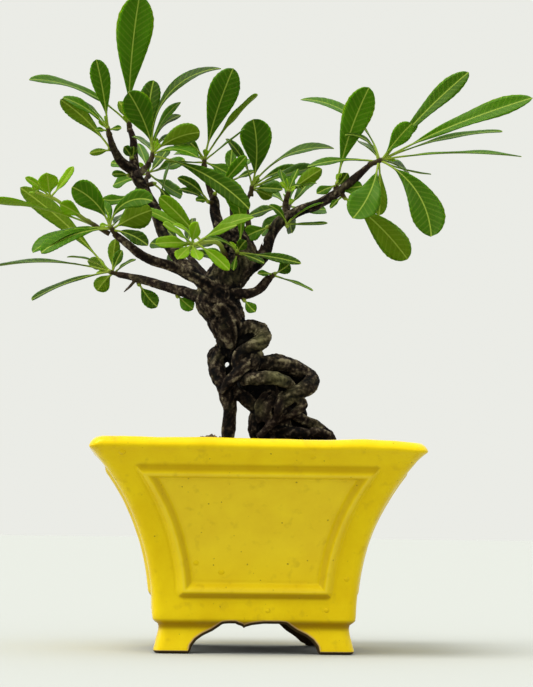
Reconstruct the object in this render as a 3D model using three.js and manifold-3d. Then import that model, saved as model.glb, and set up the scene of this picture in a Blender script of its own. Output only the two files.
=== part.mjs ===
// Firethorn bonsai: an old twisted trunk on coiled roots, in a square glazed pot.
// Sizes are millimetres. x runs to the right, y away from the viewer, z up, and z = 0 is the table.

import * as THREE from 'three';
import { mergeVertices } from 'three/addons/utils/BufferGeometryUtils.js';
import Module from 'manifold-3d';

const wasm = await Module();
wasm.setup();

// Driving dimensions of the pot
const potHeight = 97.2;
const rimHalf = 75.5;
const bodyBottom = 16;
const bodyBottomHalf = 46.2;
const flareHalf = 46.2;
const flareHeight = 63.5;
const flareEnd = 78.5;
const flareTop = 96.6;
const wallThickness = 6.5;
const floorTop = 22;
const cornerRadius = 4.5;
const lipHeight = 4;
const lipDrop = 2.8;
const lipRound = 4;
const neckHalf = 43.7;
const neckHeight = 10.5;
const footHalf = 45.9;
const footThickness = 7.5;
const archHalf = 29;
const drainRadius = 8;

// Raised frame on each face of the pot
const beadTop = 82;
const beadBottom = 28.5;
const beadHalfWidth = 3.8;
const beadRise = 2.1;
const beadSeat = 0.35;
const beadInsetTop = 16.6;
const beadInsetBottom = 15.1;

// Soil, the clearance that touching pieces keep, and the size of facet that is too fine to matter
const clearance = 0.3;
const sliverSize = 0.05;
const soilEdge = 91.5;
const soilMiddle = 96.4;

// Leaves
const stalkHalf = 0.5;
const bladeHalfThickness = 0.45;
const bladeFold = 0.2;
const longLeafLength = 22;

// How the tree stands in its pot: turned and tilted a little, in degrees, and set off centre
const treeTurn = 2.4;
const treeTilt = 0.65;
const treeShift = 2.5;

const degree = Math.PI / 180;

const colours = { glaze: 0xdcc52a, soil: 0x3a2c20, bark: 0x4a3d33, leaf: 0x3f7414 };

const bonsai = new THREE.Group();
const tree = new THREE.Group();
tree.position.set(treeShift, 0, 0);
tree.rotation.set(0, -treeTilt * degree, -treeTurn * degree);
tree.updateMatrix();
bonsai.add(tree);

// Turns a closed geometry into a solid, with its faces outward.
function solidOf(geometry) {
  const bare = geometry.clone();
  bare.deleteAttribute('normal');
  bare.deleteAttribute('uv');
  const merged = mergeVertices(bare, 1e-5);
  const vertProperties = new Float32Array(merged.attributes.position.array);
  const triVerts = new Uint32Array(merged.index.array);
  const mesh = new wasm.Mesh({ numProp: 3, vertProperties, triVerts });
  return new wasm.Manifold(mesh);
}

// Turns a solid back into a geometry for a Mesh.
function geometryOf(solid) {
  const mesh = solid.getMesh();
  const geometry = new THREE.BufferGeometry();
  geometry.setAttribute('position', new THREE.BufferAttribute(mesh.vertProperties, 3));
  geometry.setIndex(new THREE.BufferAttribute(mesh.triVerts, 1));
  geometry.computeVertexNormals();
  return geometry;
}

// Skins a row of rings that all have the same number of points. The two faces of a thin section
// are split alike, so they never cross.
function loft(rings, { closed = false } = {}) {
  const count = rings[0].length;
  const positions = rings.flat().flatMap((point) => point.toArray());
  const index = [];
  const spans = closed ? rings.length : rings.length - 1;
  for (let i = 0; i < spans; i += 1) {
    const next = (i + 1) % rings.length;
    for (let j = 0; j < count; j += 1) {
      const a = i * count + j;
      const b = i * count + (j + 1) % count;
      const c = next * count + (j + 1) % count;
      const d = next * count + j;
      if (j % 2 === 0) {
        index.push(a, b, c, a, c, d);
      } else {
        index.push(a, b, d, b, c, d);
      }
    }
  }
  if (!closed) {
    const last = (rings.length - 1) * count;
    for (let j = 1; j < count - 1; j += 1) {
      index.push(0, j + 1, j);
      index.push(last, last + j, last + j + 1);
    }
  }
  const geometry = new THREE.BufferGeometry();
  geometry.setAttribute('position', new THREE.Float32BufferAttribute(positions, 3));
  geometry.setIndex(index);
  return geometry;
}

// A level square ring with rounded corners, counterclockwise seen from above.
function squareRing(half, z, radius = cornerRadius, cornerSteps = 3) {
  const points = [];
  for (let corner = 0; corner < 4; corner += 1) {
    const start = corner * 90 * degree;
    const centre = new THREE.Vector2(half - radius, half - radius);
    centre.rotateAround(new THREE.Vector2(), start);
    for (let step = 0; step <= cornerSteps; step += 1) {
      const angle = start + (step / cornerSteps) * 90 * degree;
      const x = centre.x + radius * Math.cos(angle);
      const y = centre.y + radius * Math.sin(angle);
      points.push(new THREE.Vector3(x, y, z));
    }
  }
  return points;
}

// The pot's outer wall is one quadratic curve from the foot of the body up to its rounded rim.
const wallCurve = new THREE.QuadraticBezierCurve(
  new THREE.Vector2(bodyBottomHalf, bodyBottom),
  new THREE.Vector2(flareHalf, flareHeight),
  new THREE.Vector2(flareEnd, flareTop),
);

// Half width of the outer wall at a height.
function wallHalf(z) {
  const rise = flareHeight - bodyBottom;
  const bend = flareTop - 2 * flareHeight + bodyBottom;
  const t = (Math.sqrt(rise * rise + bend * (z - bodyBottom)) - rise) / bend;
  return wallCurve.getPoint(t).x;
}

const wallHeights = [floorTop, 34, 45, 55, 64, 73, 81, 88];

// The raised half-round frame on the front face, mitred at its four corners.
function beadFrame() {
  const widening = (beadInsetTop - beadInsetBottom) / (beadTop - beadBottom);
  const inset = (z) => beadInsetBottom + widening * (z - beadBottom);
  const sideHeights = [beadBottom, 45, 55, 64, 73, beadTop];
  const rightSide = sideHeights.map((z) => new THREE.Vector3(wallHalf(z) - inset(z), -wallHalf(z), z));
  const leftSide = rightSide.map((point) => new THREE.Vector3(-point.x, point.y, point.z)).reverse();
  const path = [...rightSide, ...leftSide];
  const outward = (z) => {
    const slope = wallHalf(z + 0.5) - wallHalf(z - 0.5);
    return new THREE.Vector3(0, -1, -slope).normalize();
  };
  const rings = path.map((point, i) => {
    const normal = outward(point.z);
    const before = point.clone().sub(path.at(i - 1)).normalize().cross(normal);
    const after = path[(i + 1) % path.length].clone().sub(point).normalize().cross(normal);
    const across = before.clone().add(after).divideScalar(1 + before.dot(after));
    return Array.from({ length: 8 }, (_, j) => {
      const angle = -j * 45 * degree;
      return point.clone()
        .addScaledVector(across, beadHalfWidth * Math.cos(angle))
        .addScaledVector(normal, beadRise * Math.sin(angle) - beadSeat);
    });
  });
  return loft(rings, { closed: true });
}

// The bracket-shaped arch between two feet, cut straight through the pot from front to back. Its one
// small cusp is left of the middle.
function archCut() {
  const right = [
    [archHalf, -1], [archHalf, 0.6], [28.3, 3.2], [26.3, 5.8], [23.4, 7.9], [19.2, 9.9],
    [16.6, 11.6], [14.5, 13.2], [11, 13.6],
  ];
  const left = right.map(([x, z]) => [-x, z]).reverse();
  const cusp = [[4.2, 13.5], [-1, 12.8], [-3.8, 12], [-4.8, 11.4], [-5.4, 12.2], [-8, 13.1]];
  const outline = [...right, ...cusp, ...left];
  const shape = new THREE.Shape(outline.map(([x, z]) => new THREE.Vector2(x, z)));
  const geometry = new THREE.ExtrudeGeometry(shape, { depth: 2 * rimHalf, bevelEnabled: false });
  geometry.rotateX(90 * degree);
  geometry.translate(0, rimHalf, 0);
  return geometry;
}

function buildPot() {
  const footRings = [
    squareRing(footHalf, 0), squareRing(footHalf - 1, 5),
    squareRing(neckHalf, neckHeight), squareRing(neckHalf, bodyBottom + 1),
  ];
  const underside = new THREE.BoxGeometry(2, 2, 2);
  const undersideHalf = footHalf - footThickness;
  underside.scale(undersideHalf, undersideHalf, bodyBottom - 0.2);
  let feet = solidOf(loft(footRings)).subtract(solidOf(underside));
  for (const turn of [0, 90]) {
    feet = feet.subtract(solidOf(archCut().rotateZ(turn * degree)));
  }

  const bodyHeights = [...wallHeights, potHeight - lipHeight];
  const bodyRings = [
    squareRing(neckHalf - 0.8, 13.2), squareRing(bodyBottomHalf - 0.5, 15),
    ...bodyHeights.map((z) => squareRing(wallHalf(z), z)),
    squareRing(rimHalf, potHeight - lipDrop),
    squareRing(rimHalf - 0.3 * lipRound, potHeight - 0.4 * lipDrop),
    squareRing(rimHalf - lipRound, potHeight),
  ];
  const cavityHeights = [...wallHeights, soilEdge, potHeight - lipHeight, potHeight + 1];
  const cavityHalf = (z) => Math.min(wallHalf(Math.min(z, flareTop)), rimHalf) - wallThickness;
  const cavityRings = cavityHeights.map((z) => squareRing(cavityHalf(z), z));
  let body = solidOf(loft(bodyRings)).subtract(solidOf(loft(cavityRings)));
  for (let face = 0; face < 4; face += 1) {
    body = body.add(solidOf(beadFrame().rotateZ(face * 90 * degree)));
  }
  const drain = new THREE.CylinderGeometry(drainRadius, drainRadius, 2 * floorTop + 6, 20);
  drain.rotateX(90 * degree);
  return body.add(feet).subtract(solidOf(drain));
}

// A woody stem through points [x, y, z, radius], on a smooth curve, with a slightly lumpy round section.
function stem(points, { step = 5, sides = 6, extra = 0 } = {}) {
  const curve = new THREE.CatmullRomCurve3(points.map(([x, y, z]) => new THREE.Vector3(x, y, z)));
  const count = Math.max(2, Math.round(curve.getLength() / step));
  const rings = [];
  let side = new THREE.Vector3(0, 1, 0);
  for (let i = 0; i <= count; i += 1) {
    const t = i / count;
    const place = t * (points.length - 1);
    const low = Math.min(Math.floor(place), points.length - 2);
    const radius = THREE.MathUtils.lerp(points[low][3], points[low + 1][3], place - low);
    const tangent = curve.getTangent(t);
    side = side.clone().addScaledVector(tangent, -side.dot(tangent)).normalize();
    const up = new THREE.Vector3().crossVectors(tangent, side);
    const pastEnd = i === 0 ? -extra : (i === count ? extra : 0);
    const centre = curve.getPoint(t).addScaledVector(tangent, pastEnd);
    rings.push(Array.from({ length: sides }, (_, j) => {
      const angle = (j / sides) * 360 * degree;
      const lump = 1 + 0.07 * Math.sin(2.4 * i + 1.9 * j);
      return centre.clone()
        .addScaledVector(side, (radius * lump + extra) * Math.cos(angle))
        .addScaledVector(up, (radius * lump + extra) * Math.sin(angle));
    }));
  }
  return loft(rings);
}

// The tree's wood, as [x, y, z, radius] through the middle of each root, the trunk and each branch.
const thickStems = {
  trunk: [
    [-13.6, 1, 142, 3.8], [-13.2, 1, 147.3, 6.4], [-13.8, 1, 153.3, 8.5], [-14.6, 1, 158.5, 8.9],
    [-16.4, 1, 162, 9.6], [-18, 1, 166, 10], [-17.2, 1, 172, 9.4], [-11, 1, 179, 8.2],
    [-6.2, 1, 185, 7.4], [-7.5, 1, 192, 6.4], [-9.8, 2, 199, 5.4], [-9.8, 3, 202.5, 3.4],
  ],
  core: [
    [-13, 3, 142.6, 4.4], [-5.6, 3, 134.4, 5.2], [-1.4, 4, 126.5, 7.2], [5, 4, 119, 8], [8.2, 3, 111.5, 8.4],
    [8.4, 3, 104, 8.7], [8.5, 3, 97, 8.6], [8.5, 3, 84, 8.6],
  ],
  upperLoop: [
    [-9, 0, 149, 4.2], [-2.8, -1, 151.8, 4.1], [2.8, -3, 149.4, 4], [3.9, -6, 145.4, 3.8],
    [-1.9, -8, 142.2, 3.5], [-7, -9, 138.8, 3.2], [-8.6, -8.4, 135.2, 2.6], [-8.4, -7.4, 132, 2.2],
  ],
  leftLoop: [
    [-13.5, 3, 144, 3.8], [-16.9, 3, 139.4, 3.9], [-18.4, 0, 133, 4], [-17.2, -3, 128, 3.6],
    [-14.8, -4, 124.6, 3.6], [-13.2, -4, 119, 3.7], [-12.2, -4, 112, 3.2], [-12.6, -4, 104, 3.1],
    [-13.2, -4, 97, 3.3], [-13.2, -4, 84, 3.3],
  ],
  bigLoop: [
    [-3, -3, 137.6, 3.7], [3.2, -4, 134.6, 3.9], [8.3, -4.4, 135.2, 4], [13.5, -3, 134.3, 4],
    [19.5, 0, 132, 4], [24.4, 2, 129.8, 3.9], [26.6, 0, 127.4, 3.8], [25.4, -3, 124.6, 3.8],
    [21, -6, 121.6, 3.7], [15.6, -8, 118.6, 3.6], [11, -8, 114.6, 3.2],
  ],
  rightRoot: [
    [11, 1, 114.5, 2.8], [18, 3, 110.4, 2.7], [24, 4, 107.4, 2.9], [29, 3, 105, 3.1],
    [33.4, 1, 101.2, 3.2], [36, 0, 96.6, 3.2], [36.4, 0, 84, 3.2],
  ],
  knotBack: [
    [2, 5, 135, 4.2], [10, 5, 131, 5], [15.6, 5, 125.6, 5.4], [18.4, 6, 119, 4.6], [16.4, 8, 111, 4.8],
    [19, 8, 103, 5.8], [25.4, 6, 97, 6], [25.4, 6, 84, 6],
  ],
  crotch: [[-9, 3, 151, 4], [-4, 2.6, 147, 5.6], [-4.2, 1.6, 141.8, 4.8], [-3, 3, 135, 4]],
  backRoot: [
    [-8, 7, 140, 3.8], [-2, 14, 132, 3.8], [6, 18, 122, 3.6], [12, 19, 112, 3.6], [14, 20, 104, 3.8],
    [14.5, 20.5, 97, 4], [14.5, 20.5, 84, 4],
  ],
};

const rootStems = {
  diagonalStrand: [
    [2, -5, 139.4, 3.2], [-4.3, -9, 134.2, 3.1], [-8.8, -10, 129.2, 3], [-13, -9, 124.4, 2.8],
    [-14.8, -6, 120.4, 2.2],
  ],
  frontLobe: [
    [-6, -8, 126.8, 2.9], [-1, -11.6, 127.2, 3.2], [6, -13, 127.3, 3.3], [12.6, -11.2, 126.3, 3.2],
    [16, -7.6, 124.8, 2.5], [18, -3, 123, 2.2],
  ],
  knob: [[-2.4, -5, 139.4, 2.6], [-0.6, -8.6, 135.8, 3.3], [-1, -7.6, 131.6, 2.8]],
  leftKnot: [[-12, -2, 121.4, 3], [-6.2, -4, 119.2, 3.4], [-1.9, -4, 116, 3.6], [3, -3, 111.6, 3.4]],
  leftLobe: [[3, -2, 114, 3.4], [0.7, -3, 108.4, 4.1], [0.8, -3, 103.6, 4.2], [4, -2, 98.6, 3.8]],
  wrapOne: [[5, -4, 119.4, 2.2], [1.6, -8.4, 113.6, 2.3], [3.2, -7, 107.2, 2.1]],
  wrapTwo: [[9, -5, 119, 2.2], [5.6, -10.2, 113.4, 2.3], [5.8, -8.6, 107, 2]],
  wrapThree: [[12, -5, 120, 2.2], [11.2, -11, 113.8, 2.3], [10, -8.6, 106.8, 2.1]],
  ridge: [[13, -7, 110, 2], [6.4, -9.6, 104.8, 2], [1.8, -7.6, 99.6, 1.7]],
  hook: [[17, -7, 118.2, 2.3], [22.6, -7.4, 115.2, 2.4], [19.4, -8.4, 111.6, 2.3], [13.4, -6, 108.4, 2]],
  lowLoopOne: [[12, -4, 101.4, 2.6], [19, -6.6, 102.2, 2.6], [24.6, -5, 101, 2.5], [28.6, -2, 100.6, 2.2]],
  lowLoopTwo: [[24, -4, 100.8, 2.2], [28.6, -5.4, 102.2, 2.3], [33, -3, 101, 2.2], [36.6, 0, 99.8, 2]],
  backLoop: [
    [-14, 7, 144, 3.4], [-20, 12, 138, 3.2], [-16, 17, 130, 3.1], [-7, 18, 124, 3], [2, 12, 120, 2.8],
  ],
  backWrap: [[10, 6, 122, 2.8], [19, 11, 117, 2.8], [22, 16, 110, 2.8], [15, 19, 105, 2.6]],
};

const branchStems = {
  lowerLeft: [
    [-17, -1, 166, 3.6], [-26, 0, 166.6, 3.2], [-33.2, 4, 169.1, 2.6], [-44.3, 9, 172.8, 2.2],
    [-55.9, 14, 176.5, 2], [-66.3, 18, 178.9, 1.6],
  ],
  middleLeft: [
    [-19, -4, 170, 3.8], [-27.9, -11, 174.3, 2.8], [-39.3, -18, 179.6, 2.4], [-51.1, -25, 182.7, 2.2],
    [-61.5, -29.5, 190.5, 1.8], [-65.9, -31, 193.7, 1.4],
  ],
  leader: [
    [-20, 2, 170, 4], [-27, 3, 175.6, 3.4], [-34.1, 5, 182.6, 3], [-40.1, 8, 190.4, 2.9],
    [-45, 10, 198.9, 2.8],
    [-48.8, 12, 210.7, 2.7], [-52.7, 14, 218.4, 2.6], [-57.4, 15, 227, 2.6], [-59, 17, 235.2, 2.2],
    [-59.1, 18, 243.4, 1.8],
    [-60.9, 18, 249.9, 1.3],
  ],
  forkLeft: [
    [-57.4, 15, 227.4, 2.5], [-61.4, 13, 230.5, 2.5], [-65.4, 9, 233.9, 2.2], [-68.3, 6, 239.4, 1.8],
    [-70.1, 4, 245.5, 1.2],
  ],
  twigRight: [
    [-57.4, 14, 227, 2], [-54.9, 6, 227.2, 1.7], [-51.8, -3, 228.7, 1.4], [-49.5, -10, 231.1, 1.1],
  ],
  middle: [
    [-12, -1, 191, 4], [-16.4, -1, 198.4, 3], [-19, 0, 206, 2.5], [-19.6, 1, 212.6, 2.3],
    [-22.4, 2, 219.6, 1.2], [-24.4, 2, 229.6, 1],
  ],
  thinRight: [
    [-4, 2, 188, 2.2], [-3.2, 5, 197.1, 1.7], [-3.8, 9, 206.2, 1.3], [-4.4, 12, 213, 1.1],
    [-2.2, 14, 218.3, 1],
  ],
  thinMiddle: [[-9.6, 4, 200, 2.4], [-11, 10, 208.2, 1.4], [-11.7, 17, 216.6, 1.1], [-11.5, 21, 223.7, 1]],
  spur: [
    [-12, -3, 168.6, 3], [-4.7, -4, 167.6, 2.4], [0.8, -4, 169.2, 2.2], [4.6, -4, 173, 2.1],
    [7, -4, 176, 1.7],
  ],
  rightMain: [
    [-7, 0, 180, 4.4], [2, 0, 184, 3], [5.8, 1, 190, 2.6], [7.4, 1, 195.9, 2.5], [11, 0, 201.6, 2.9],
    [17.5, -3, 205.5, 2.8],
    [23.9, -6, 208.3, 2.6], [30.4, -9, 210.5, 2.5], [39.3, -14, 215.2, 2.2], [46.6, -18, 220.8, 1.9],
    [54.1, -21, 227.5, 1.4],
  ],
  stub: [[14.5, -1.5, 204.6, 1.9], [14.4, -2, 210.4, 1.5], [15, -3, 214.6, 1.2]],
  thorn: [[0.6, -1, 184.6, 1.1], [2, -1.4, 188.6, 0.7], [3.4, -1.8, 192.6, 0.3]],
  shootThorn: [[-57.4, 15, 176.6, 1], [-60.4, 11, 172.4, 0.7], [-63.1, 8, 169.4, 0.3]],
  backLeft: [[-20, 4, 173, 2.8], [-26, 14, 180, 2], [-31, 26, 187, 1.6], [-34, 38, 191.6, 1.2]],
  backRight: [[6, 2, 193, 2.4], [9, 12, 201, 1.8], [13, 24, 208.6, 1.4], [16, 34, 213, 1.1]],
  backTop: [[-51.3, 13, 216, 2.2], [-53, 20, 220.6, 1.6], [-53.4, 30, 226, 1.3], [-52.6, 40, 230, 1]],
};

// All the wood in one solid, or the same wood made fatter by a clearance.
function woodSolid(extra = 0) {
  const groups = [
    { stems: thickStems, step: 5.5, sides: 8 },
    { stems: rootStems, step: 5, sides: 6 },
    { stems: branchStems, step: 7.5, sides: 6 },
  ];
  let wood = null;
  for (const { stems, step, sides } of groups) {
    for (const points of Object.values(stems)) {
      const piece = solidOf(stem(points, { step, sides, extra }));
      wood = wood ? wood.add(piece) : piece;
    }
  }
  return wood;
}

// Height of the soil: low at the walls, mounded in the middle, with a small tuft beside the left stem.
function soilHeight(x, y, edge) {
  const mound = (soilMiddle - soilEdge) * Math.cos(Math.min(1, edge) * 90 * degree);
  const tuft = 3.2 * Math.exp(-((x + 23) ** 2 + (y + 3) ** 2) / 60);
  const lumps = 0.4 * Math.sin(0.31 * x + 1) * Math.sin(0.27 * y);
  return soilEdge + mound + tuft + lumps;
}

function buildSoil() {
  const inner = (z) => wallHalf(z) - wallThickness - clearance - 0.1;
  const sideHeights = [floorTop + clearance, ...wallHeights.slice(1), soilEdge];
  const rings = sideHeights.map((z) => squareRing(inner(Math.max(z, floorTop)), z));
  const topHalf = inner(soilEdge) - 0.4;
  for (const edge of [0.98, 0.84, 0.66, 0.5, 0.36, 0.22, 0.08]) {
    rings.push(squareRing(topHalf * edge, 0, cornerRadius * edge).map((point) => {
      const fromMiddle = Math.hypot(point.x, point.y) / topHalf;
      return new THREE.Vector3(point.x, point.y, soilHeight(point.x, point.y, fromMiddle));
    }));
  }
  let soil = solidOf(loft(rings));
  const pegs = [
    thickStems.core, thickStems.leftLoop, thickStems.rightRoot, thickStems.knotBack, thickStems.backRoot,
  ];
  for (const points of pegs) {
    const [x, y, bottom, radius] = points.at(-1);
    const socket = new THREE.CylinderGeometry(radius + 1, radius + 1, 40, 12);
    socket.rotateX(90 * degree);
    socket.translate(x, y, bottom - clearance + 20);
    socket.applyMatrix4(tree.matrix);
    soil = soil.subtract(solidOf(socket));
  }
  return soil;
}

// Direction in space of an angle in the picture plane and a lean toward the viewer, in degrees.
function heading(angle, lean) {
  const flat = Math.cos(lean * degree);
  const right = Math.cos(angle * degree) * flat;
  const up = Math.sin(angle * degree) * flat;
  return new THREE.Vector3(right, -Math.sin(lean * degree), up);
}

// Outline of a blade: place along its length, and share of its half width. The stalk comes first.
const longOutline = [[0, 0], [0.16, 0.04], [0.42, 0.62], [0.7, 1], [0.9, 0.8], [1, 0.16]];
const shortOutline = [[0, 0], [0.2, 0.06], [0.52, 0.84], [0.82, 0.96], [1, 0.2]];

// One leaf on its stalk. It starts at angle `from` and ends at angle `to`; `turn` rolls its upper side
// from the viewer (0) through upward (90) to away (180).
function leaf(base, [from, to, lean, length, width, turn]) {
  const outline = length > longLeafLength ? longOutline : shortOutline;
  const mirror = Math.cos((from + to) / 2 * degree) < -1e-6 ? -1 : 1;
  const point = base.clone();
  let before = 0;
  const rings = outline.map(([t, share]) => {
    const middle = (t + before) / 2;
    point.addScaledVector(heading(from + (to - from) * middle, lean), (t - before) * length);
    before = t;
    const angle = from + (to - from) * t;
    const along = heading(angle, lean);
    const facing = new THREE.Vector3(0, -1, 0).addScaledVector(along, -Math.sin(lean * degree)).normalize();
    const above = new THREE.Vector3(-Math.sin(angle * degree), 0, Math.cos(angle * degree));
    above.multiplyScalar(mirror * Math.sin(turn * degree));
    const normal = facing.multiplyScalar(Math.cos(turn * degree)).add(above);
    const across = new THREE.Vector3().crossVectors(along, normal);
    const half = Math.max(stalkHalf, share * width / 2);
    const rise = share * width / 2 * bladeFold;
    const edge = (sign) => point.clone().addScaledVector(across, sign * half).addScaledVector(normal, rise);
    return [
      point.clone().addScaledVector(normal, bladeHalfThickness), edge(1),
      point.clone().addScaledVector(normal, -bladeHalfThickness), edge(-1),
    ];
  });
  return loft(rings);
}

// Leaf rows are [from, to, lean, length, width, turn]. Each spray has the point it grows from, the way its
// short green shoot goes ([angle, lean, length]) and its leaves, spaced along the shoot.
const sprays = {
  crown: { at: [-60.9, 18, 249.5], grow: [95, 0, 5], leaves: [
    [132, 183, 15, 55, 10, 60], [100, 130, -20, 14, 5, 180], [40, 0, -50, 20, 7, 60], [70, 60, 30, 7, 3, 0],
    [90, 80, 5, 61, 18, 0],
  ] },
  fork_tip: { at: [-70.1, 4, 244.9], grow: [100, 5, 4], leaves: [
    [170, 192, 30, 7, 3, 30], [15, -5, 20, 7, 3, 20], [128, 165, 15, 27, 7, 40], [115, 150, -30, 25, 4, 80],
    [95, 104, 10, 33, 9.5, 0],
  ] },
  fork_low: { at: [-66.9, 7.5, 236.9], grow: [150, 0, 4], leaves: [
    [180, 192, -20, 12, 3.5, 180], [124, 146, -5, 35, 8, 180],
  ] },
  between_forks: { at: [-59, 16, 233], grow: [110, 40, 3.5], leaves: [
    [110, 140, 30, 8, 5, 20], [60, 100, 20, 6, 3.5, 0],
  ] },
  twig: { at: [-49.5, -10, 230.9], grow: [75, 10, 5], leaves: [
    [-12, -48, 10, 55, 9.5, 15], [28, -42, 22, 25, 8, 50], [80, 0, -25, 19, 5, 60], [45, 0, 15, 26, 11, 150],
    [95, 15, -15, 26, 6, 55], [88, 35, -5, 29, 6, 50], [120, 150, -50, 22, 7, 60], [104, 76, -14, 37, 10, 0],
    [100, 1, 0, 57.5, 9.5, 55], [102, 125, 25, 31.5, 14, 0],
  ] },
  middle_top: { at: [-24.4, 2, 229], grow: [88, 0, 5], leaves: [
    [178, 184, 15, 20, 3, 85], [-22, -35, 10, 15, 7, 30], [138, 168, 15, 18, 5, 30],
    [42, 36, -8, 25, 3.5, 80],
    [120, 155, 5, 18, 5, 30], [150, 170, -50, 24, 8, 60], [60, 40, 5, 40, 8, 105],
    [78, 66, 8, 45, 14.5, 0],
  ] },
  middle_side: { at: [-20.4, 0, 211.4], grow: [165, 40, 3.4], leaves: [
    [150, 205, 30, 8, 4, 30], [140, 176, 0, 16, 4, 40], [122, 165, 12, 19, 5.5, 20],
  ] },
  middle_front: { at: [-20, 0, 214.4], grow: [60, 60, 4], leaves: [[52, 46, 15, 24, 6, 0]] },
  right_top: { at: [-2.2, 14, 217.7], grow: [80, 0, 5], leaves: [
    [-12, -25, -15, 11, 6, 180], [4, -14, 20, 16, 6, 20], [27, 5, 8, 33, 9, 45], [44, 0, -12, 28, 6, 30],
    [98, 142, 12, 27, 6, 45], [20, -5, -50, 24, 8, 60], [56, -10, 12, 46, 9, 60],
    [75, 104, 5, 32, 15.5, 0],
  ] },
  thin_top: { at: [-11.5, 21, 222.9], grow: [95, 0, 4], leaves: [
    [25, 18, 10, 13, 4, 40], [150, 170, -30, 18, 7, 50], [60, 40, -40, 20, 7, 50], [95, 80, -20, 16, 6, 20],
  ] },
  left_node: { at: [-65.1, -31, 193.3], grow: [125, 30, 6], leaves: [
    [-8, -42, 12, 19, 7, 20], [36, 18, -8, 21, 13, 170], [182, 222, 22, 37.5, 9, 30],
    [176, 222, 14, 40, 10, 50],
    [60, 40, -55, 22, 8, 60], [90, 150, -32, 20, 7, 40], [81, -26, 20, 28, 9, 20],
    [110, 160, 22, 26.5, 12.5, 10],
  ] },
  lower_left: { at: [-65.7, 18, 178.7], grow: [160, 0, 6], leaves: [
    [50, 20, -25, 14, 4, 60], [218, 240, 8, 12, 8, 180], [92, 80, -8, 17, 6, 180], [70, 60, 15, 12, 5, 20],
    [135, 185, -20, 26, 4, 85], [140, 165, -32, 16, 6, 170], [190, 212, 12, 41, 8, 60],
    [163, 197, 3, 63, 8, 72],
    [128, 145, -10, 62, 9.5, 180],
  ] },
  trunk_front: { at: [-8.4, -5.5, 185.4], grow: [95, 60, 5], leaves: [
    [250, 265, 20, 9, 3, 20], [-15, -32, 30, 16, 4, 30], [-5, -16, 8, 31, 5.5, 30], [60, 40, 45, 9, 5.5, 0],
    [130, 190, 25, 18, 4, 50], [72, 128, 5, 36, 9.5, 10],
  ] },
  leader_right: { at: [-51.7, 14, 222], grow: [10, 20, 4], leaves: [[-32, -88, 18, 19, 5, 30]] },
  leader_left: { at: [-57.9, 15, 226], grow: [170, 10, 4], leaves: [[165, 190, 10, 9, 4, 20]] },
  leader_back: { at: [-55.3, 14, 219.6], grow: [215, 0, 4], leaves: [[215, 165, 0, 18, 6, 30]] },
  leader_upright: { at: [-47.6, 12, 207.7], grow: [60, -30, 4], leaves: [[85, 68, -12, 27, 5, 80]] },
  hanging_left: { at: [-56.4, 14, 176.4], grow: [-80, 10, 3.4], leaves: [[-62, -42, 10, 15, 8, 10]] },
  hanging_middle: { at: [-37.8, 6, 170.6], grow: [-80, 10, 4], leaves: [[-50, -35, 15, 11, 7, 10]] },
  hanging_right: { at: [-6, -4, 167.6], grow: [-75, 20, 4], leaves: [[-60, -40, 20, 9, 5.5, 10]] },
  spur_tip: { at: [7, -4, 175.4], grow: [40, 10, 3.6], leaves: [
    [-15, -30, 12, 21, 3.5, 60], [170, 190, 30, 9, 3.5, 30], [25, 40, 20, 9, 6.5, 0],
  ] },
  right_low: { at: [14, -1.5, 203.2], grow: [-70, 30, 4.4], leaves: [
    [-5, 3, 10, 20, 3.5, 50], [50, 5, 30, 23, 3, 80], [105, 165, 30, 15, 4.5, 30],
  ] },
  right_inner: { at: [9, 0.5, 199.4], grow: [170, 10, 4], leaves: [[195, 212, 8, 13, 8, 10]] },
  stub_tip: { at: [15, -3, 213.9], grow: [70, 10, 4], leaves: [
    [42, 30, 5, 20, 7, 180], [40, -5, 15, 15, 2.6, 80], [80, -60, 15, 9, 2.6, 40],
    [120, 100, -30, 14, 5, 40],
    [75, 60, -15, 12, 4, 40],
  ] },
  branch_upper: { at: [37.7, -13, 214.3], grow: [80, 0, 6], leaves: [
    [-5, 5, 30, 14, 7, 20], [40, 60, 28, 9, 5, 0], [200, 215, 34, 13, 5, 20], [80, 63, 6, 48, 14, 0],
  ] },
  branch_under: { at: [40.3, -14.4, 215.4], grow: [-60, 0, 4.4], leaves: [
    [215, 235, 10, 9, 3, 30], [-34, -54, -5, 42, 14, 180],
  ] },
  right_whorl: { at: [54.1, -21, 227.4], grow: [22, 0, 8], leaves: [
    [172, 200, 10, 34, 6, 50], [92, 188, -8, 22.5, 5, 60], [-97, -130, 35, 40, 15, 10],
    [-85, -95, 5, 26, 7, 180],
    [98, 178, -28, 60, 8, 50], [-20, -5, -20, 27, 3, 80], [-28, -90, 18, 48.5, 16, 10],
    [120, 140, -50, 24, 8, 60],
    [0, -30, -50, 22, 8, 60], [56, 42, 25, 23, 9, 10], [9, -9, 10, 65.5, 6, 70], [55, 40, -12, 25, 6, 20],
    [26, 2, -8, 59.5, 6.5, 60], [52, 40, -2, 58, 10, 25], [29, 14, 4, 75, 10.5, 30],
  ] },
};

// The whorls at the back, which one photograph can't show: seven leaves each, turned by the golden angle.
const backWhorls = {
  back_left: { at: [-34, 37.4, 191.4], grow: [120, -60, 5], first: 20 },
  back_right: { at: [16, 33.4, 212.8], grow: [70, -60, 5], first: 80 },
  back_top: { at: [-52.7, 39.4, 229.7], grow: [95, -60, 5], first: 50 },
};
for (const [name, { at, grow, first }] of Object.entries(backWhorls)) {
  const leaves = [];
  for (let k = 0; k < 7; k += 1) {
    const angle = (first + k * 137.5) % 360;
    leaves.push([angle, angle + 12, -30 - 6 * (k % 5), 20 + 2.5 * (k % 4), 7 + (k % 3), 40]);
  }
  sprays[name] = { at, grow, leaves };
}

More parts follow.
